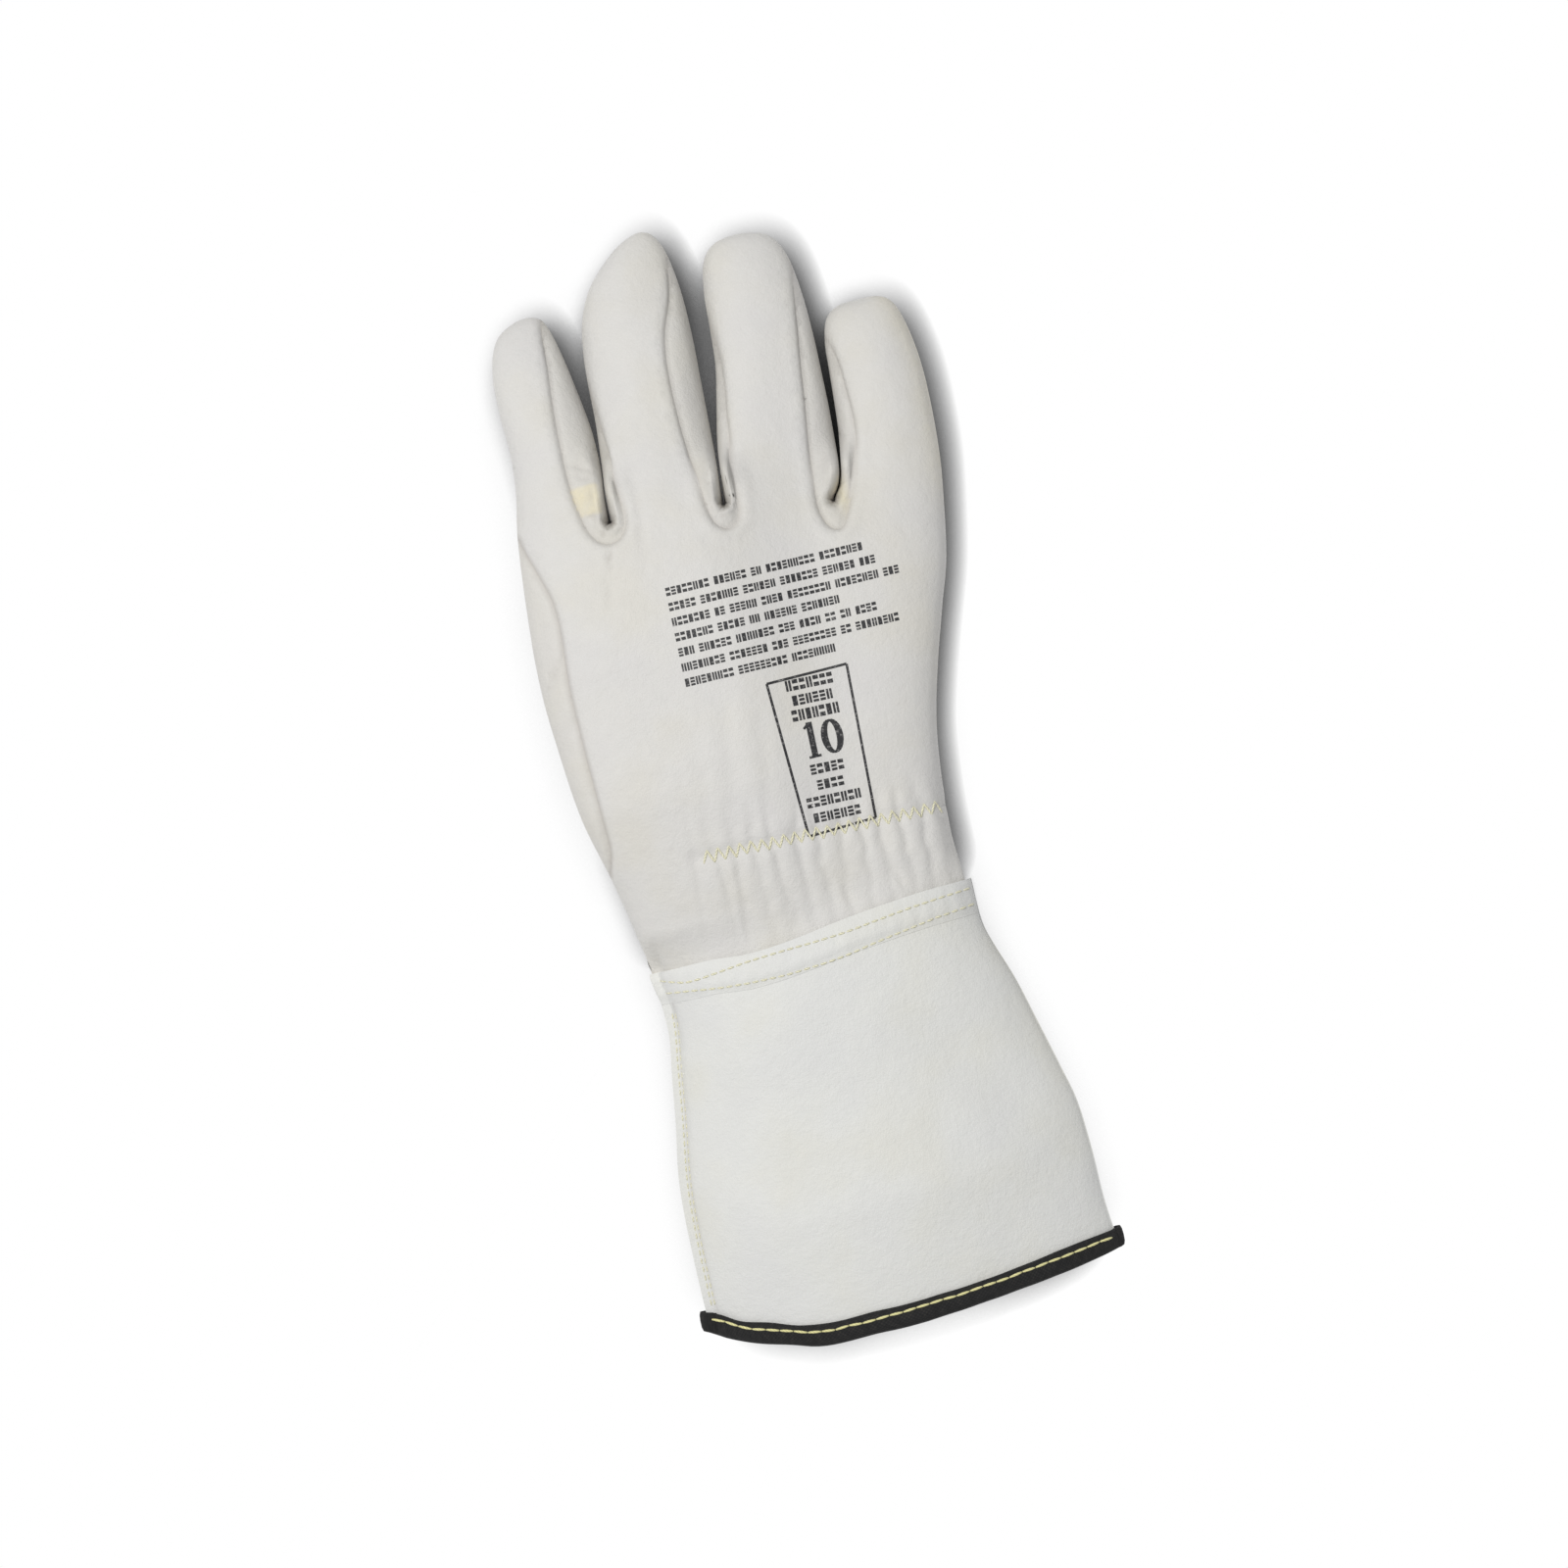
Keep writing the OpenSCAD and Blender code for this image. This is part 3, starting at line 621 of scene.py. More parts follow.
def leather_material(name, base, seed):
    """Smooth chrome-tanned hide: fine pores, faint mottling, painted shade along seams, creases and pinch
    holes, some yellowing.
    """
    def build(tree, shader):
        rest = attribute(tree, "rest").outputs["Vector"]
        offset = node(tree, "ShaderNodeVectorMath", {0: rest, 1: (seed, seed * 2.0, 0.0)}, operation="ADD")
        where = offset.outputs["Vector"]
        cloud = noise_map(tree, where, 0.035, 5.0)
        blotch = noise_map(tree, where, 0.22, 4.0)
        warm = tuple(c * k for c, k in zip(base, (0.99, 0.98, 0.945)))
        cool = tuple(c * k for c, k in zip(base, (0.985, 0.985, 1.0)))
        colour = ramp(tree, cloud, [(0.35, cool), (0.5, base), (0.68, warm)])
        colour = mix_colour(tree, maths(tree, "MULTIPLY", blotch, 0.16), colour, tuple(c * 0.8 for c in base))
        cells = node(tree, "ShaderNodeTexVoronoi", {"Vector": where, "Scale": 1.5},
                     feature="DISTANCE_TO_EDGE")
        pores = cells.outputs["Distance"]
        grain = noise_map(tree, where, 1.1, 6.0)
        crease = ramp(tree, pores, [(0.0, (0.93,) * 3), (0.10, (1.0,) * 3)])
        colour = mix_colour(tree, 0.55, colour, crease, "MULTIPLY")
        tint = attribute(tree, "tint").outputs["Fac"]
        stained = maths(tree, "MULTIPLY", tint, maths(tree, "ADD", blotch, 0.35))
        colour = mix_colour(tree, stained, colour, (0.78, 0.70, 0.47))
        # painted shade: darker towards (0.36, 0.33, 0.30) at seams, creases and pinch holes
        painted_shade = attribute(tree, "painted_shade").outputs["Fac"]
        colour = mix_colour(tree, maths(tree, "MULTIPLY", painted_shade, 0.62), colour, (0.36, 0.33, 0.30))
        tree.links.new(colour, shader.inputs["Base Color"])
        rough = node(tree, "ShaderNodeMapRange", {"Value": blotch, "To Min": 0.50, "To Max": 0.68})
        tree.links.new(rough.outputs["Result"], shader.inputs["Roughness"])
        height = maths(tree, "ADD", maths(tree, "MULTIPLY", pores, 0.5), grain)
        height = maths(tree, "ADD", height, maths(tree, "MULTIPLY", noise_map(tree, where, 0.35, 3.0), 1.6))
        relief(tree, shader, height, 0.6, 0.00028)
    return material(name, base, 0.58, build, Specular_IOR_Level=0.32, Sheen_Weight=0.08, Sheen_Roughness=0.5)


def tape_material():
    """Plain-woven black tape; rest holds (along, across) in millimetres."""
    def build(tree, shader):
        rest = attribute(tree, "rest").outputs["Vector"]
        parts = node(tree, "ShaderNodeSeparateXYZ", {0: rest}).outputs
        warp = maths(tree, "SINE", maths(tree, "MULTIPLY", parts[0], 2 * math.pi / 0.9))
        weft = maths(tree, "SINE", maths(tree, "MULTIPLY", parts[1], 2 * math.pi / 0.7))
        weave = maths(tree, "MULTIPLY", warp, weft)
        shade = maths(tree, "ADD", maths(tree, "MULTIPLY", weave, 0.22), noise_map(tree, rest, 0.8, 6.0))
        colour = ramp(tree, shade, [(0.25, (0.003, 0.003, 0.003)), (0.6, (0.010, 0.010, 0.010)),
                                    (0.95, (0.035, 0.031, 0.026))])
        tree.links.new(colour, shader.inputs["Base Color"])
        relief(tree, shader, shade, 0.8, 0.0003)
    return material("woven_tape", (0.02, 0.02, 0.02), 0.85, build, Sheen_Weight=0.06, Sheen_Roughness=0.4)


def thread_material(name, colour):
    """Twisted thread; rest holds (along, round) in millimetres."""
    def build(tree, shader):
        rest = attribute(tree, "rest").outputs["Vector"]
        twist = node(tree, "ShaderNodeTexWave", {"Vector": rest, "Scale": 0.55, "Distortion": 0.6},
                     bands_direction="DIAGONAL").outputs["Fac"]
        dull = tuple(c * 0.72 for c in colour)
        tree.links.new(ramp(tree, twist, [(0.1, dull), (0.7, colour)]), shader.inputs["Base Color"])
        relief(tree, shader, twist, 0.6, 0.00012)
    return material(name, colour, 0.6, build, Sheen_Weight=0.2)


def ink_material():
    """Worn stamp ink: the hide shows through in specks."""
    def build(tree, shader):
        rest = attribute(tree, "rest").outputs["Vector"]
        speck = noise_map(tree, rest, 1.3, 5.0, Roughness=0.7)
        colour = ramp(tree, speck, [(0.54, (0.018, 0.018, 0.020)), (0.70, (0.36, 0.35, 0.34))])
        tree.links.new(colour, shader.inputs["Base Color"])
        rough = ramp(tree, speck, [(0.4, (0.55,) * 3), (0.7, (0.75,) * 3)])
        tree.links.new(rough, shader.inputs["Roughness"])
    return material("stamp_ink", (0.04, 0.04, 0.045), 0.6, build)


HIDE = {"back": leather_material("hide_back", (0.68, 0.667, 0.638), 3.0),
        "palm": leather_material("hide_palm", (0.67, 0.652, 0.612), 41.0),
        "wall": leather_material("hide_wall", (0.645, 0.628, 0.588), 77.0),
        "cuff": leather_material("hide_cuff", (0.735, 0.735, 0.705), 113.0)}
TAPE_MAT = tape_material()
PALE_THREAD = thread_material("thread_pale_yellow", (0.83, 0.80, 0.58))
BRIGHT_THREAD = thread_material("thread_bright_yellow", (0.85, 0.80, 0.38))
INK = ink_material()
ELASTIC_MAT = thread_material("covered_elastic", (0.74, 0.70, 0.52))


# ---------------------------------------------------------------- pieces

def add_object(name, data):
    obj = bpy.data.objects.new(name, data)
    bpy.context.scene.collection.objects.link(obj)
    return obj


def add_piece(name, verts, faces, mat, normals=None, rest=None, painted_shade=None, tint=None):
    """Mesh object from millimetre points. normals are given for each face corner."""
    mesh = bpy.data.meshes.new(name)
    mesh.from_pydata(place(verts).tolist(), [], [list(map(int, f)) for f in faces])
    mesh.polygons.foreach_set("use_smooth", [True] * len(mesh.polygons))
    store = mesh.attributes.new("rest", "FLOAT_VECTOR", "POINT")
    store.data.foreach_set("vector", np.asarray(verts if rest is None else rest, np.float32).ravel())
    for key, values in (("painted_shade", painted_shade), ("tint", tint)):
        store = mesh.attributes.new(key, "FLOAT", "POINT")
        values = np.zeros(len(verts)) if values is None else values
        store.data.foreach_set("value", np.asarray(values, np.float32))
    mesh.materials.append(mat)
    mesh.update()
    if normals is not None:
        mesh.normals_split_custom_set([tuple(map(float, v)) for v in normals])
    obj = add_object(name, mesh)
    return obj


def thick(verts, normals, tris, depth):
    """A closed sheet of leather: the given skin, the same skin sunk by depth, and the edges between."""
    n = len(verts)
    faces = [tuple(t) for t in tris] + [tuple(t[::-1] + n) for t in tris]
    corner = [normals[v] for t in tris for v in t] + [-normals[v] for t in tris for v in t[::-1]]
    ways = {}
    for t in tris:
        m = len(t)
        for k in range(m):
            ways[(t[k], t[(k + 1) % m])] = True
    for a, b in ways:
        if (b, a) not in ways:
            faces.append((b, a, a + n, b + n))
            corner.extend([np.zeros(3)] * 4)
    return np.vstack([verts, verts - normals * np.reshape(depth, (-1, 1))]), faces, corner


def leather_piece(name, tris, mat):
    """Panel cut from the welded skins."""
    used, index = np.unique(tris, return_inverse=True)
    local = index.reshape(tris.shape)
    verts, faces, corner = thick(SKIN[used], SKIN_N[used], local, DEPTH[used])
    return add_piece(name, verts, faces, mat, corner,
                     painted_shade=np.tile(PAINTED_SHADE[used], 2), tint=np.tile(TINT[used], 2))


def grid_faces(rows, cols, flip=False):
    quads = [(a, a + 1, a + cols + 1, a + cols) for i in range(rows - 1)
             for a in range(i * cols, i * cols + cols - 1)]
    return [q[::-1] for q in quads] if flip else quads


def ring_faces(rows, cols):
    """Faces of a grid that closes on itself both ways."""
    return [(i * cols + m, i * cols + (m + 1) % cols, (i + 1) % rows * cols + (m + 1) % cols,
             (i + 1) % rows * cols + m) for i in range(rows) for m in range(cols)]


def grid_normals(verts, faces):
    tris = np.array([t for f in faces for t in ((f[0], f[1], f[2]), (f[0], f[2], f[3]))])
    return smooth_normals(verts, tris)


def sheet_piece(name, verts, faces, mat, depth, normals=None, painted_shade=None):
    """Piece made of one grid of faces with a thickness."""
    if normals is None:
        normals = grid_normals(verts, faces)
    v, f, corner = thick(verts, normals, [np.array(q) for q in faces], depth)
    return add_piece(name, v, f, mat, corner, painted_shade=None if painted_shade is None else np.tile(painted_shade, 2))


def stand_for(obj, node_name, body):
    """The piece moves with a body and takes the place of a CAD node."""
    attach(obj, body)
    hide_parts(node_name)


def at(x, y, z=0.0):
    return tuple(place((x, y, z)))


def finger_of(c):
    x, y = c[:, 0], c[:, 1]
    seps = (np.interp(y, [248, 280], [-42.5, -41.6]), np.interp(y, [246.5, 260, 290], [-7, -6, -3.2]),
            np.interp(y, [241, 246, 252, 260, 280], [26.3, 29.2, 30.8, 31.7, 32.4]))
    return sum((x > s).astype(int) for s in seps)


def root_line(c, finger):
    x = c[:, 0]
    slopes = (np.full(len(x), 248.0), np.interp(x, [-42.5, -7], [248, 246.5]),
              np.interp(x, [-7, 26.3], [246.5, 241]), np.full(len(x), 241.0))
    return np.choose(finger, slopes)


def panel_names(tris, upper):
    """Which CAD node each triangle of a skin belongs to."""
    c = XY[tris % len(XY)].mean(1)
    finger = finger_of(c)
    seg = (c[:, 1] > root_line(c, finger)).astype(int)
    seg += c[:, 1] > np.choose(finger, [y for _, y in MIDDLE_CUTS])
    gap = np.zeros(len(c), int)
    for k, g in enumerate(GAPS):
        gap[inside(g, c)] = k + 1
    side = inside(THUMB_SIDE, c)
    names = []
    for k in range(len(c)):
        y = c[k, 1]
        if y < ELASTIC_Y:
            names.append("tail_back" if upper else "tail_palm")
        elif seg[k] == 0 and gap[k]:
            names.append(f"crotch_{gap[k]}")
        elif seg[k] == 0:
            palm = "hand_palm" if y > HEEL_Y else "palm_heel"
            names.append("hand_back" if upper and not side[k] else palm)
        else:
            wall = "right_wall" if gap[k] == finger[k] + 1 else "left_wall"
            panel = wall if gap[k] else "back" if upper and not side[k] else "front"
            names.append(f"{FINGERS[finger[k]]}_{('lower', 'upper')[seg[k] - 1]}_{panel}")
    return np.array(names)


def hide_for(name):
    if "wall" in name or name.startswith("crotch"):
        return HIDE["wall"], "quirk_leather" if name.startswith("crotch") else "wall_leather"
    if "front" in name or "palm" in name:
        return HIDE["palm"], "palm_leather"
    return HIDE["back"], "back_leather"


def make_hand_and_fingers():
    names = np.concatenate([panel_names(UPPER, True), panel_names(LOWER, False)])
    tris = np.vstack([UPPER, LOWER])
    for name in sorted(set(names)):
        mat, slot = hide_for(name)
        obj = leather_piece("leather_" + name, tris[names == name], mat)
        finger = name.split("_")[0]
        if name.startswith("tail"):
            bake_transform(obj)
        elif finger in FINGERS:
            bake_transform(obj)
        else:
            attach(obj, "hand")
        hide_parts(name)


# ---------------------------------------------------------------- cuff

def cuff_relief(p, side):
    """Soft dents of the cuff's leather, as a height."""
    q = p[:, :2]
    lift = 1.1 * wobble(q, 46, 11.5) + 0.35 * wobble(q, 17, 12.5) + 0.10 * wobble(q, 7, 13.5)
    if side > 0:
        lift -= 1.3 * line_fold(q, (8, 92), (54, 34), 9) + 0.7 * line_fold(q, (-50, 96), (-38, 30), 8)
        lift += 0.8 * line_fold(q, (-20, 70), (20, 8), 14)
        lift -= 0.35 * line_fold(q, (6, 82), (12, 74), 1.6)
    return lift * side


def cuff_grid(side, rows, cols, start=0.0, reach=1.0):
    """Points over one side of the cuff from start to its top, closer together near the side seams."""
    across = np.linspace(-reach, reach, cols)
    u, t = (g.ravel() for g in np.meshgrid(np.sin(across * np.pi / 2), np.linspace(start, 1.0, rows)))
    p = cuff_point(u, t, side)
    p[:, 2] += cuff_relief(p, side) * ease((1 - np.abs(u)) / 0.10) * ease(t / 0.05) * ease((1.02 - t) / 0.08)
    p[:, 2] = np.maximum(p[:, 2], 0.5)
    return p, t


CUFF_SKINS = {}


def make_cuff():
    """The cuff's back and palm panels, which meet at the side seams."""
    rows, cols = 58, CUFF_COLUMNS
    for side, name in ((1, "cuff_back"), (-1, "cuff_palm")):
        verts, _ = cuff_grid(side, rows, cols)
        faces = grid_faces(rows, cols, flip=side < 0)
        # painted shade along the crease where the flat seam allowance meets the cuff's swell, 3.4 mm in from
        # the thumb's side
        painted_shade = bump(np.abs(verts[:, 0] - at_edge("left", verts[:, 1]) - 3.4), 0.5) * 0.35
        obj = sheet_piece("leather_" + name, verts, faces, HIDE["cuff"], LEATHER, painted_shade=painted_shade)
        stand_for(obj, name, "cuff")
        CUFF_SKINS[side] = (verts, faces)


def make_cuff_hem():
    """The doubled, raised upper edge of the cuff, rolled over at its rim."""
    rows, cols = 12, CUFF_COLUMNS
    p, t = cuff_grid(1, rows, cols, HEM_START, 0.999)
    rise = 0.25 + 0.95 * ease((t - HEM_START) / 0.03) - 0.6 * ease((t - 0.988) / 0.012)
    rise += 0.22 * np.sin(p[:, 0] * 2 * np.pi / 5.2 + 2 * wobble(p[:, :2], 9, 1.9)) * bump(t - 0.955, 0.03)
    p[:, 2] += rise
    p[:, 1] += 0.5 * ease((t - 0.98) / 0.02)
    faces = grid_faces(rows, cols)
    obj = sheet_piece("leather_cuff_hem", p, faces, HIDE["cuff"], HEM_LEATHER)
    stand_for(obj, "cuff_hem", "cuff")
    CUFF_SKINS["hem"] = (p, faces)


def make_binding():
    """Woven tape folded over the cuff's raw edge: a U-shaped section swept round the mouth."""
    stations = 150
    ring = np.linspace(0, 2, stations)       # 0 to 1 over the top, 1 to 2 back underneath
    corner, turn = 0.93, 0.07                # the tape turns round the mouth's end over the last of each side
    # the section: how far up the cuff, and how far out of the leather
    fold = [(7.6, 1.15), (6.6, 1.5), (4.5, 1.65), (2.0, 1.6), (0.6, 1.2), (0.0, 0.2), (0.3, -1.0),
            (1.2, -1.9), (3.0, -2.3), (5.5, -2.4), (7.2, -2.2), (7.3, -1.5), (5.0, -1.35), (2.6, -1.2),
            (2.0, 0.0), (3.2, 0.35), (6.8, 0.45)]
    verts, rest = [], []
    for r in ring:
        side = 1 if r <= 1 else -1
        w = r * 2 - 1 if r <= 1 else 3 - r * 2
        u = math.sin(max(-0.999, min(0.999, w)) * math.pi / 2) * 1.012
        near, base, far = cuff_point(u + 0.01 * side * np.array([-1, 0, 1]), np.full(3, 0.02), side)
        run = far - near
        out = np.array([-run[2], 0, run[0]])
        out = out / max(np.linalg.norm(out), 1e-9)
        if abs(w) > corner:
            bend = ease((abs(w) - corner) / turn) * math.pi / 2
            out = np.array([math.sin(bend) * math.copysign(1, w), 0, math.cos(bend) * side])
        low = at_x(HEM_LOW, base[0])
        scale = (at_x(HEM_HIGH, base[0]) - low) / fold[0][0]
        ripple = 0.25 * noise.noise(Vector((base[0] / 9, side * 3.0, 0.5)))
        for m, (up, off) in enumerate(fold):
            p = np.array([base[0], low + up * scale + ripple, base[2]]) + out * (off + 0.15 * ripple)
            verts.append(p)
            rest.append((r * 130, m * 1.3, 0.0))
    faces = ring_faces(stations, len(fold))
    verts = np.array(verts)
    verts[:, 2] = np.maximum(verts[:, 2], ABOVE_FLOOR)
    stand_for(add_piece("tape_binding", verts, faces, TAPE_MAT, rest=rest), "binding", "cuff")
    CUFF_SKINS["tape"] = (verts, faces)


# ---------------------------------------------------------------- sewing

def ray_down(skins):
    """Function giving the highest surface point and normal under an (x, y)."""
    verts, faces = [], []
    for v, f in skins:
        faces += [tuple(int(i) + len(verts) for i in q) for q in f]
        verts += [tuple(p) for p in v]
    tree = BVHTree.FromPolygons(verts, faces)

    def hit(x, y):
        p, n, *_ = tree.ray_cast(Vector((x, y, 90)), Vector((0, 0, -1)))
        if p is None:
            return np.array([x, y, CUFF_MID]), np.array([0, 0, 1.0])
        return np.array(p), np.array(n)
    return hit


def stitch_piece(name, ends, hit, radius, mat, body, node_name, raised=0.12):
    """Short humped threads between pairs of plan points, lying on a surface."""
    sides, rings = 6, 6
    verts, faces, rest = [], [], []
    run = 0.0
    for a, b in ends:
        a, b = np.array(a, float), np.array(b, float)
        size = np.linalg.norm(b - a)
        first = len(verts)
        for k in range(rings):
            s = k / (rings - 1)
            p, n = hit(*(a + (b - a) * s))
            forward = np.array([*(b - a) / size, 0.0])
            forward -= n * forward.dot(n)
            forward /= np.linalg.norm(forward)
            across = np.cross(forward, n)
            swell_up = math.sin(math.pi * (0.12 + 0.76 * s))
            r = radius * (0.35 + 0.65 * swell_up)
            centre = p + n * (raised * swell_up - 0.25 * radius + 0.25 * radius * swell_up)
            for m in range(sides):
                angle = 2 * math.pi * m / sides
                verts.append(centre + across * math.cos(angle) * r * 1.1 + n * math.sin(angle) * r)
                rest.append((run + s * size, m * radius, 0.0))
        for k in range(rings - 1):
            for m in range(sides):
                i, j = first + k * sides + m, first + k * sides + (m + 1) % sides
                faces.append((i, i + sides, j + sides, j))
        faces.append(tuple(first + m for m in range(sides)))
        faces.append(tuple(first + (rings - 1) * sides + m for m in range(sides))[::-1])
        run += size
    stand_for(add_piece(name, np.array(verts), faces, mat, rest=rest), node_name, body)


def stitch_ends(line, pitch, gap, jitter=0.0):
    """Ends of the stitches along a line, with a gap between each and the next."""
    pts, step = evenly(line, pitch)
    pts[:, 1] += jitter * wobble(pts, 4, 21.0)
    share = gap / step / 2
    return [(a + (b - a) * share, b - (b - a) * share) for a, b in zip(pts, pts[1:])]


def make_cuff_rows():
    """Two rows that sew the cuff to the hand, through the hem."""
    hit = ray_down([CUFF_SKINS["hem"], CUFF_SKINS[1]])
    rows = {"high": curve([(-57.5, 107), (-52, 105.6), (-48, 105), (-40, 106), (-30, 107.4), (-20, 108.3),
                           (0, 109.9), (10, 111.3), (20, 112.8), (30, 114), (42.5, 115)]),
            "low": curve([(-56.5, 102.8), (-48, 102.2), (-40, 101.4), (-30, 101), (-20, 101.1), (-10, 101.8),
                          (0, 103), (10, 105), (20, 106.8), (30, 108.5), (42.8, 110)])}
    for name, row in rows.items():
        ends = stitch_ends(row, 2.7, 0.7, 0.12)
        stitch_piece("thread_cuff_" + name, ends, hit, 0.30, PALE_THREAD, "cuff", "cuff_thread_" + name)


def make_binding_row():
    """One row of long stitches along the tape."""
    row = curve([(-63.5, 1.4), (-60, 0.4), (-54, -2.9), (-46, -4.9), (-38, -7), (-30, -8.3), (-20, -8.1),
                 (0, -6.9), (20, -5), (40, -2.4), (52, -0.7), (62.8, 0.4)])
    ends = stitch_ends(row, 4.3, 0.22, 0.35)
    stitch_piece("thread_binding", ends, ray_down([CUFF_SKINS["tape"]]), 0.38, BRIGHT_THREAD, "cuff",
                 "binding_thread", raised=0.2)


def make_zigzag():
    """Zigzag over the elastic, a little uneven."""
    start, pitch, half, turns = -36, 1.7, 1.9, 45
    points = [(start + pitch * k,
               ELASTIC_Y + (half if k % 2 else -half) + 0.4 * noise.noise(Vector((k * 0.7, 0.3, 0.2))))
              for k in range(turns)]
    stitch_piece("thread_wrist_zigzag", list(zip(points, points[1:])), ray_down([(SKIN, UPPER)]), 0.33,
                 PALE_THREAD, "hand", "wrist_zigzag")


def make_side_rows():
    """Two rows that hold the flat seam allowance on the thumb's side of the cuff."""
    ends = []
    for inset in (2.3, 3.4):
        pts, _ = evenly(np.array([(at_edge("left", y) + inset, y) for y in np.arange(5, 97, 1.5)]), 2.6)
        ends += [(a + (b - a) * 0.16, b - (b - a) * 0.16) for a, b in zip(pts, pts[1:])]
    stitch_piece("thread_cuff_side", ends, ray_down([CUFF_SKINS[1]]), 0.22, PALE_THREAD, "cuff",
                 "side_thread", 0.06)


def make_elastic():
    """Covered elastic inside the back of the wrist, under the zigzag."""
    hit = ray_down([(SKIN, UPPER)])
    xs = np.linspace(-38, 36, 60)
    rows = []
    for y in (138.4, 139.4, 141.5, 143.6, 144.6):
        rows.append([hit(x, y)[0] - (0, 0, LEATHER + 0.9 + 0.25 * math.sin(x * 2.4)) for x in xs])
    verts = np.array(rows).reshape(-1, 3)
    obj = sheet_piece("elastic_wrist", verts, grid_faces(len(rows), len(xs)), ELASTIC_MAT, 0.8)
    stand_for(obj, "wrist_elastic", "hand")


# ---------------------------------------------------------------- thumb

THUMB_Y = (146.0, 230.0)
THUMB_SPLIT = 178.5
THUMB_BENDS = ((148.0, 172.0), (179.0, 199.0))
THUMB_SEAM_Y = 150.0       # where it is sewn in, and its middle there; it leans 4 mm over the next 80
THUMB_X, THUMB_LEAN = -49.5, -4.0 / 80
THUMB_CAP = 15.0           # length of the rounded end


def thumb_grid(y0, y1, rows, angles):
    """Rounded sections of the thumb from y0 to y1, closer together at its tip."""
    t = np.linspace(0, 1, rows)
    if y1 == THUMB_Y[1]:
        t = 1 - (1 - t) ** 2
    ys = y0 + (y1 - y0) * t
    pts = []
    for y in ys:
        end = max(0.0, (y - THUMB_Y[1] + THUMB_CAP) / THUMB_CAP)
        cap = max(0.02, 1 - min(1, end) ** 2.5) ** (1 / 2.3)
        half = 13.7 * cap * np.interp(y, [146, 160, 190, 230], [0.94, 1.0, 1.0, 0.97])
        tall = np.interp(y, [146, 155, 230], [10.5, 12.5, 9.8]) / 2
        thick_here = max(0.25, tall * (1 - min(1, end) ** 3) ** 0.4)
        cx = THUMB_X + THUMB_LEAN * (y - THUMB_SEAM_Y)
        for a in angles:
            c, d = math.cos(a), math.sin(a)
            x = cx + half * math.copysign(abs(c) ** 0.75, c)
            z = tall + thick_here * math.copysign(abs(d) ** 0.72, d)
            pts.append((x, y, max(z, 0.04)))
    pts = np.array(pts)
    pts[:, 2] -= 0.25 * (1 + wobble(pts[:, :2], 11, 30.0)) * (pts[:, 2] > 6)
    return pts


def make_thumb():
    """Two halves of leather on each of the thumb's two segments."""
    cols = 25
    for name, (y0, y1), rows, bodies, bend in (
            ("thumb_lower", (THUMB_Y[0], THUMB_SPLIT), 16, ("hand", "thumb_lower"), THUMB_BENDS[0]),
            ("thumb_upper", (THUMB_SPLIT, THUMB_Y[1]), 30, ("thumb_lower", "thumb_upper"), THUMB_BENDS[1])):
        for part, turn, sideways, slot in (("back", 0, 1, "back_leather"),
                                           ("front", math.pi, -1, "palm_leather")):
            verts = thumb_grid(y0, y1, rows, np.linspace(turn, turn + math.pi, cols))
            faces = grid_faces(rows, cols, flip=True)
            normals = grid_normals(verts, faces)
            # the seam edges take the sideways normal that both halves share
            normals[0::cols] = (sideways, 0, 0)
            normals[cols - 1::cols] = (-sideways, 0, 0)
            on_seam = np.tile(np.isin(np.arange(cols), (0, cols - 1)), rows)
            # painted shade along both seam edges
            obj = sheet_piece(f"leather_{name}_{part}", verts, faces, HIDE["palm"], LEATHER * THINNED,
                              normals, 0.7 * on_seam)
            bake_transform(obj)
            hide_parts(f"{name}_{part}")


def make_thumb_welt():
    """Rolled seam round the thumb's root, where it is set into the palm."""
    centre = (-49.7, 149.5)
    verts = []
    around, sides = 72, 8
    for k in range(around):
        a = 2 * math.pi * k / around
        c, s = math.cos(a), math.sin(a)
        p = np.array([centre[0] + 14.0 * math.copysign(abs(c) ** 0.7, c), centre[1] + 0.5 * c,
                      6.9 + 5.7 * math.copysign(abs(s) ** 0.7, s)])
        out = np.array([c, 0, s])
        for m in range(sides):
            b = 2 * math.pi * m / sides
            r = 0.85 + 0.12 * math.sin(k * 1.9)
            verts.append(p + out * math.cos(b) * r + np.array([0, 1, 0]) * math.sin(b) * r)
    verts = np.array(verts)
    verts[:, 2] = np.maximum(verts[:, 2], 0.03)
    obj = add_piece("welt_thumb", verts, ring_faces(around, sides), HIDE["wall"])
    stand_for(obj, "thumb_gusset", "hand")


# ---------------------------------------------------------------- stamp

STAMP_TURN = math.radians(1.6)


def glyph_block(rng, x, base, tall, wide):
    """One plain block where a letter was: solid, or split into bars that spell nothing."""
    kind = rng.integers(0, 4)
    mid = x + wide / 2
    if kind == 0:
        return [((mid, base), (mid, base + tall), wide * 0.9)]
    if kind == 1:
        return [((x, base + tall * f), (x + wide, base + tall * f), tall * 0.26) for f in (0.12, 0.5, 0.88)]
    if kind == 2:
        return [((x + wide * f, base), (x + wide * f, base + tall), wide * 0.42) for f in (0.2, 0.8)]
    return [((x, base + tall * f), (x + wide, base + tall * f), tall * 0.38) for f in (0.18, 0.82)]


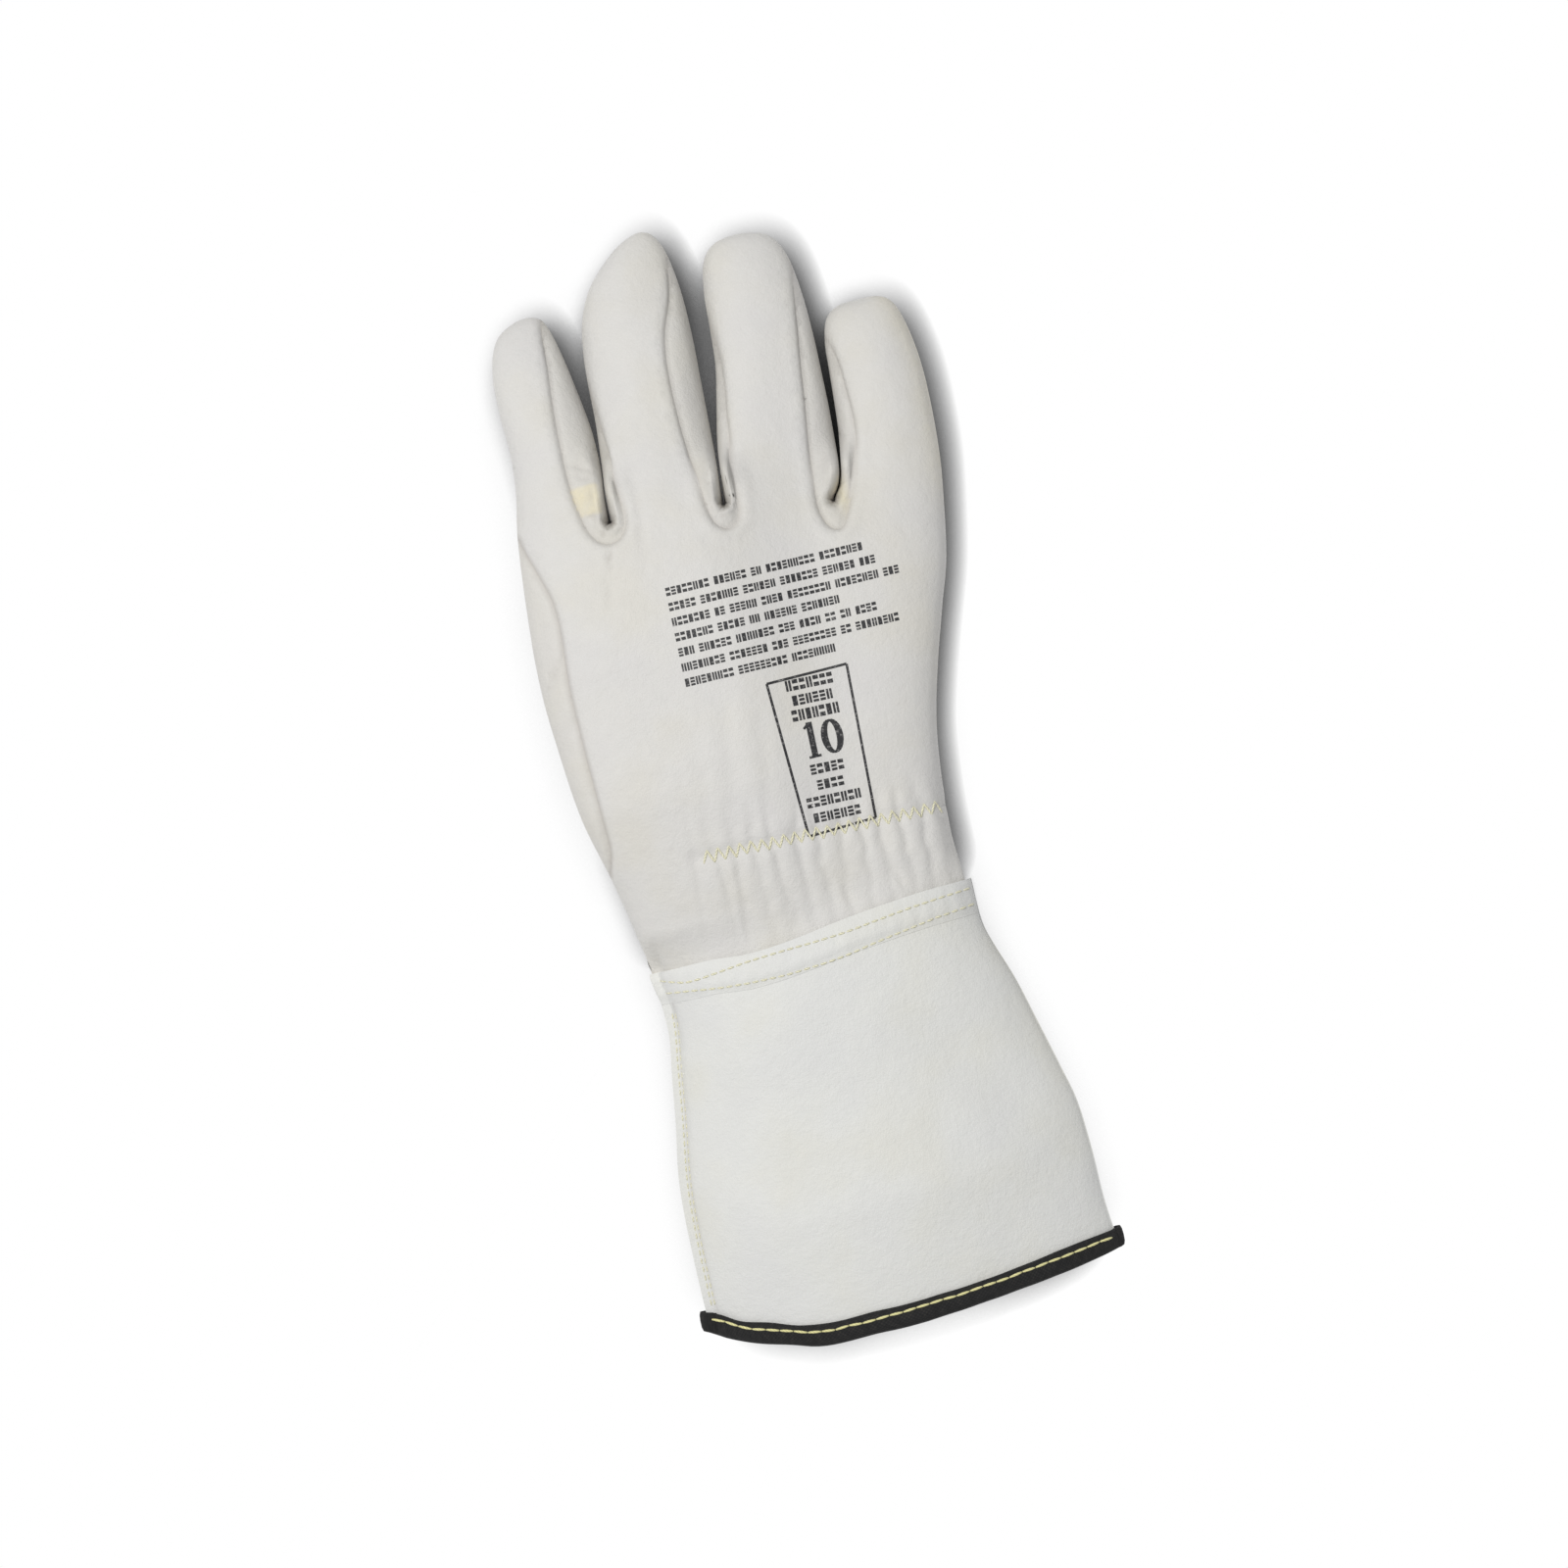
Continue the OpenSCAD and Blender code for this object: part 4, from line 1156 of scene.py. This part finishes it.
def stamp_strokes():
    """Seven lines of plain blocks in place of writing, and a frame below them: (from, to, width)."""
    rng = np.random.default_rng(10)
    strokes = []
    left, first, pitch, tall, advance = -30.0, 221.7, 4.72, 2.5, 1.72
    widths = (64, 68, 71, 51, 61, 73, 46)
    for row, size in enumerate(widths):
        x, base = 0.0, first - row * pitch
        while x < size - 4:
            for _ in range(rng.integers(2, 10)):
                if x > size:
                    break
                strokes += glyph_block(rng, left + x, base, tall, 0.8 * advance)
                x += advance
            x += 1.3
    turned = []
    for a, b, w in strokes:
        a, b = (np.array([p[0], p[1] + (p[0] - left) * math.tan(STAMP_TURN)]) for p in (a, b))
        turned.append((a, b, w))
    corners = [(-5.8, 189.2), (19.4, 190.3), (18.3, 142.4), (-2.9, 141.0)]
    for a, b in zip(corners, corners[1:] + corners[:1]):
        turned.append((np.array(a, float), np.array(b, float), 0.8))
    return turned


def ring_strokes(cx, cy, rx, ry, thin, fat, n=28):
    """An upright oval drawn with a thick and a thin side, as short strokes."""
    out = []
    for k in range(n):
        a, b = 2 * math.pi * k / n, 2 * math.pi * (k + 1.15) / n
        p = np.array([cx + rx * math.cos(a), cy + ry * math.sin(a)])
        q = np.array([cx + rx * math.cos(b), cy + ry * math.sin(b)])
        out.append((p, q, thin + (fat - thin) * abs(math.cos((a + b) / 2))))
    return out


def number_strokes():
    """The size, 10, in plain figures with short feet, and blocks for the lines above and below it."""
    one = [((4.2, 164.2), (4.2, 175.2), 1.9), ((2.3, 164.5), (6.1, 164.6), 0.8),
           ((2.4, 173.4), (4.3, 175.0), 0.8)]
    out = [(np.array(a), np.array(b), w) for a, b, w in one]
    out += ring_strokes(10.5, 169.6, 2.35, 4.9, 0.7, 2.1)
    rng = np.random.default_rng(4)
    middle, step = 7.2, 2.15
    for base, count, tall in ((185.6, 7, 3.3), (180.9, 6, 3.1), (176.2, 7, 3.4), (159.2, 5, 3.0),
                              (154.3, 4, 2.9), (149.4, 8, 3.0), (144.6, 7, 2.9)):
        for k in range(count):
            x = middle + (k - count / 2) * step
            out += [(np.array(a), np.array(b), w) for a, b, w in glyph_block(rng, x, base, tall, 1.7)]
    return out


def make_stamp():
    """Ink laid just over the leather: narrow strips cut to follow its surface."""
    hit = ray_down([(SKIN, UPPER)])
    for name, strokes in (("ink_text_blocks", stamp_strokes()), ("ink_size_number", number_strokes())):
        verts, faces = [], []
        for a, b, w in strokes:
            size = np.linalg.norm(b - a)
            n = max(1, math.ceil(size / 1.1))
            across = np.array([-(b - a)[1], (b - a)[0]]) / size * w / 2
            first = len(verts)
            for k in range(n + 1):
                for side in (-1, 1):
                    q = a + (b - a) * k / n + across * side
                    p, nrm = hit(*q)
                    verts.append(p + nrm * 0.05)
            faces += [(q, q + 2, q + 3, q + 1) for q in range(first, first + 2 * n, 2)]
        obj = add_piece(name, np.array(verts), faces, INK)
        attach(obj, "hand")


# ---------------------------------------------------------------- the room

PICTURE = 1600.0         # pixels across, and pixels per millimetre at the height of VIEW_CENTRE
PHOTO_SCALE = 3.3
ROLL = math.radians(12.09)
VIEW_CENTRE = (-7.0, 158.3, 15.0)
LENS, SENSOR = 110.0, 36.0


def make_camera():
    cam = bpy.data.cameras.new("camera")
    cam.lens, cam.sensor_width = LENS, SENSOR
    obj = add_object("camera", cam)
    away = LENS / SENSOR * PICTURE / PHOTO_SCALE / 1000
    obj.location = Vector(at(*VIEW_CENTRE)) + Vector((0, 0, away))
    obj.rotation_euler = (0, 0, -ROLL)
    bpy.context.scene.camera = obj


def make_light(name, direction, distance, size, power, colour=(1, 1, 1)):
    lamp = bpy.data.lights.new(name, "AREA")
    lamp.energy, lamp.size, lamp.color = power, size, colour
    obj = add_object(name, lamp)
    way = Vector(direction).normalized()
    obj.location = Vector(at(*VIEW_CENTRE)) + way * distance
    obj.rotation_euler = way.to_track_quat("Z", "Y").to_euler()


def floor_material():
    """A white floor that shows its shadow, and that lets parts below it be seen and lit.

    The camera sees through it, dimmed near the glove: most on the side away from the key light, and most of
    all deep between the fingers. Light meets white from above and passes through from below.
    """
    mat = material("pale_floor", (0.9, 0.9, 0.9), 0.9)
    tree = mat.node_tree
    lean = node(tree, "ShaderNodeCombineXYZ", {0: -0.60, 1: 0.36, 2: 0.71})
    near = node(tree, "ShaderNodeAmbientOcclusion", {"Distance": 0.0095, "Normal": lean.outputs[0]},
                samples=12)
    deep = node(tree, "ShaderNodeAmbientOcclusion", {"Distance": 0.03}, samples=8)
    gaps = maths(tree, "MINIMUM", maths(tree, "MULTIPLY", deep.outputs["AO"], 1.7), 1.0)
    shade = maths(tree, "MULTIPLY", maths(tree, "POWER", near.outputs["AO"], 1.9), gaps)
    clear = node(tree, "ShaderNodeBsdfTransparent", {"Color": shade})
    glass = node(tree, "ShaderNodeBsdfTransparent", {})
    path = node(tree, "ShaderNodeLightPath")
    side = node(tree, "ShaderNodeNewGeometry")
    white = tree.nodes["Principled BSDF"]
    lit = node(tree, "ShaderNodeMixShader", {0: side.outputs["Backfacing"], 1: white.outputs[0],
                                             2: glass.outputs[0]})
    seen = node(tree, "ShaderNodeMixShader", {0: path.outputs["Is Camera Ray"], 1: lit.outputs[0],
                                              2: clear.outputs[0]})
    tree.links.new(seen.outputs[0], tree.nodes["Material Output"].inputs["Surface"])
    return mat


def make_room():
    mesh = bpy.data.meshes.new("floor")
    s = 3.0
    mesh.from_pydata([(-s, -s, 0), (s, -s, 0), (s, s, 0), (-s, s, 0)], [], [(0, 1, 2, 3)])
    floor = add_object("floor", mesh)
    floor.location.z = -0.0002
    mesh.materials.append(floor_material())
    world = bpy.data.worlds.new("studio")
    bpy.context.scene.world = world
    world.use_nodes = True
    tree = world.node_tree
    fill = tree.nodes["Background"]
    fill.inputs["Color"].default_value = (0.97, 0.98, 1.0, 1)
    fill.inputs["Strength"].default_value = 0.445
    seen = node(tree, "ShaderNodeBackground", {"Color": (1, 1, 1, 1), "Strength": 1.0})
    path = node(tree, "ShaderNodeLightPath")
    both = node(tree, "ShaderNodeMixShader", {0: path.outputs["Is Camera Ray"], 1: fill.outputs[0],
                                              2: seen.outputs[0]})
    tree.links.new(both.outputs[0], tree.nodes["World Output"].inputs["Surface"])
    make_light("key", (-0.48, 0.28, 1.35), 1.3, 0.18, 9.1, (1.0, 0.992, 0.98))
    make_light("soft", (-0.1, 0.3, 1.2), 1.5, 1.0, 2.5)
    bpy.context.scene.view_settings.view_transform = "Standard"


make_camera()
make_room()
make_hand_and_fingers()
make_cuff()
make_cuff_hem()
make_binding()
make_thumb()
make_thumb_welt()
make_elastic()
make_cuff_rows()
make_binding_row()
make_zigzag()
make_side_rows()
make_stamp()
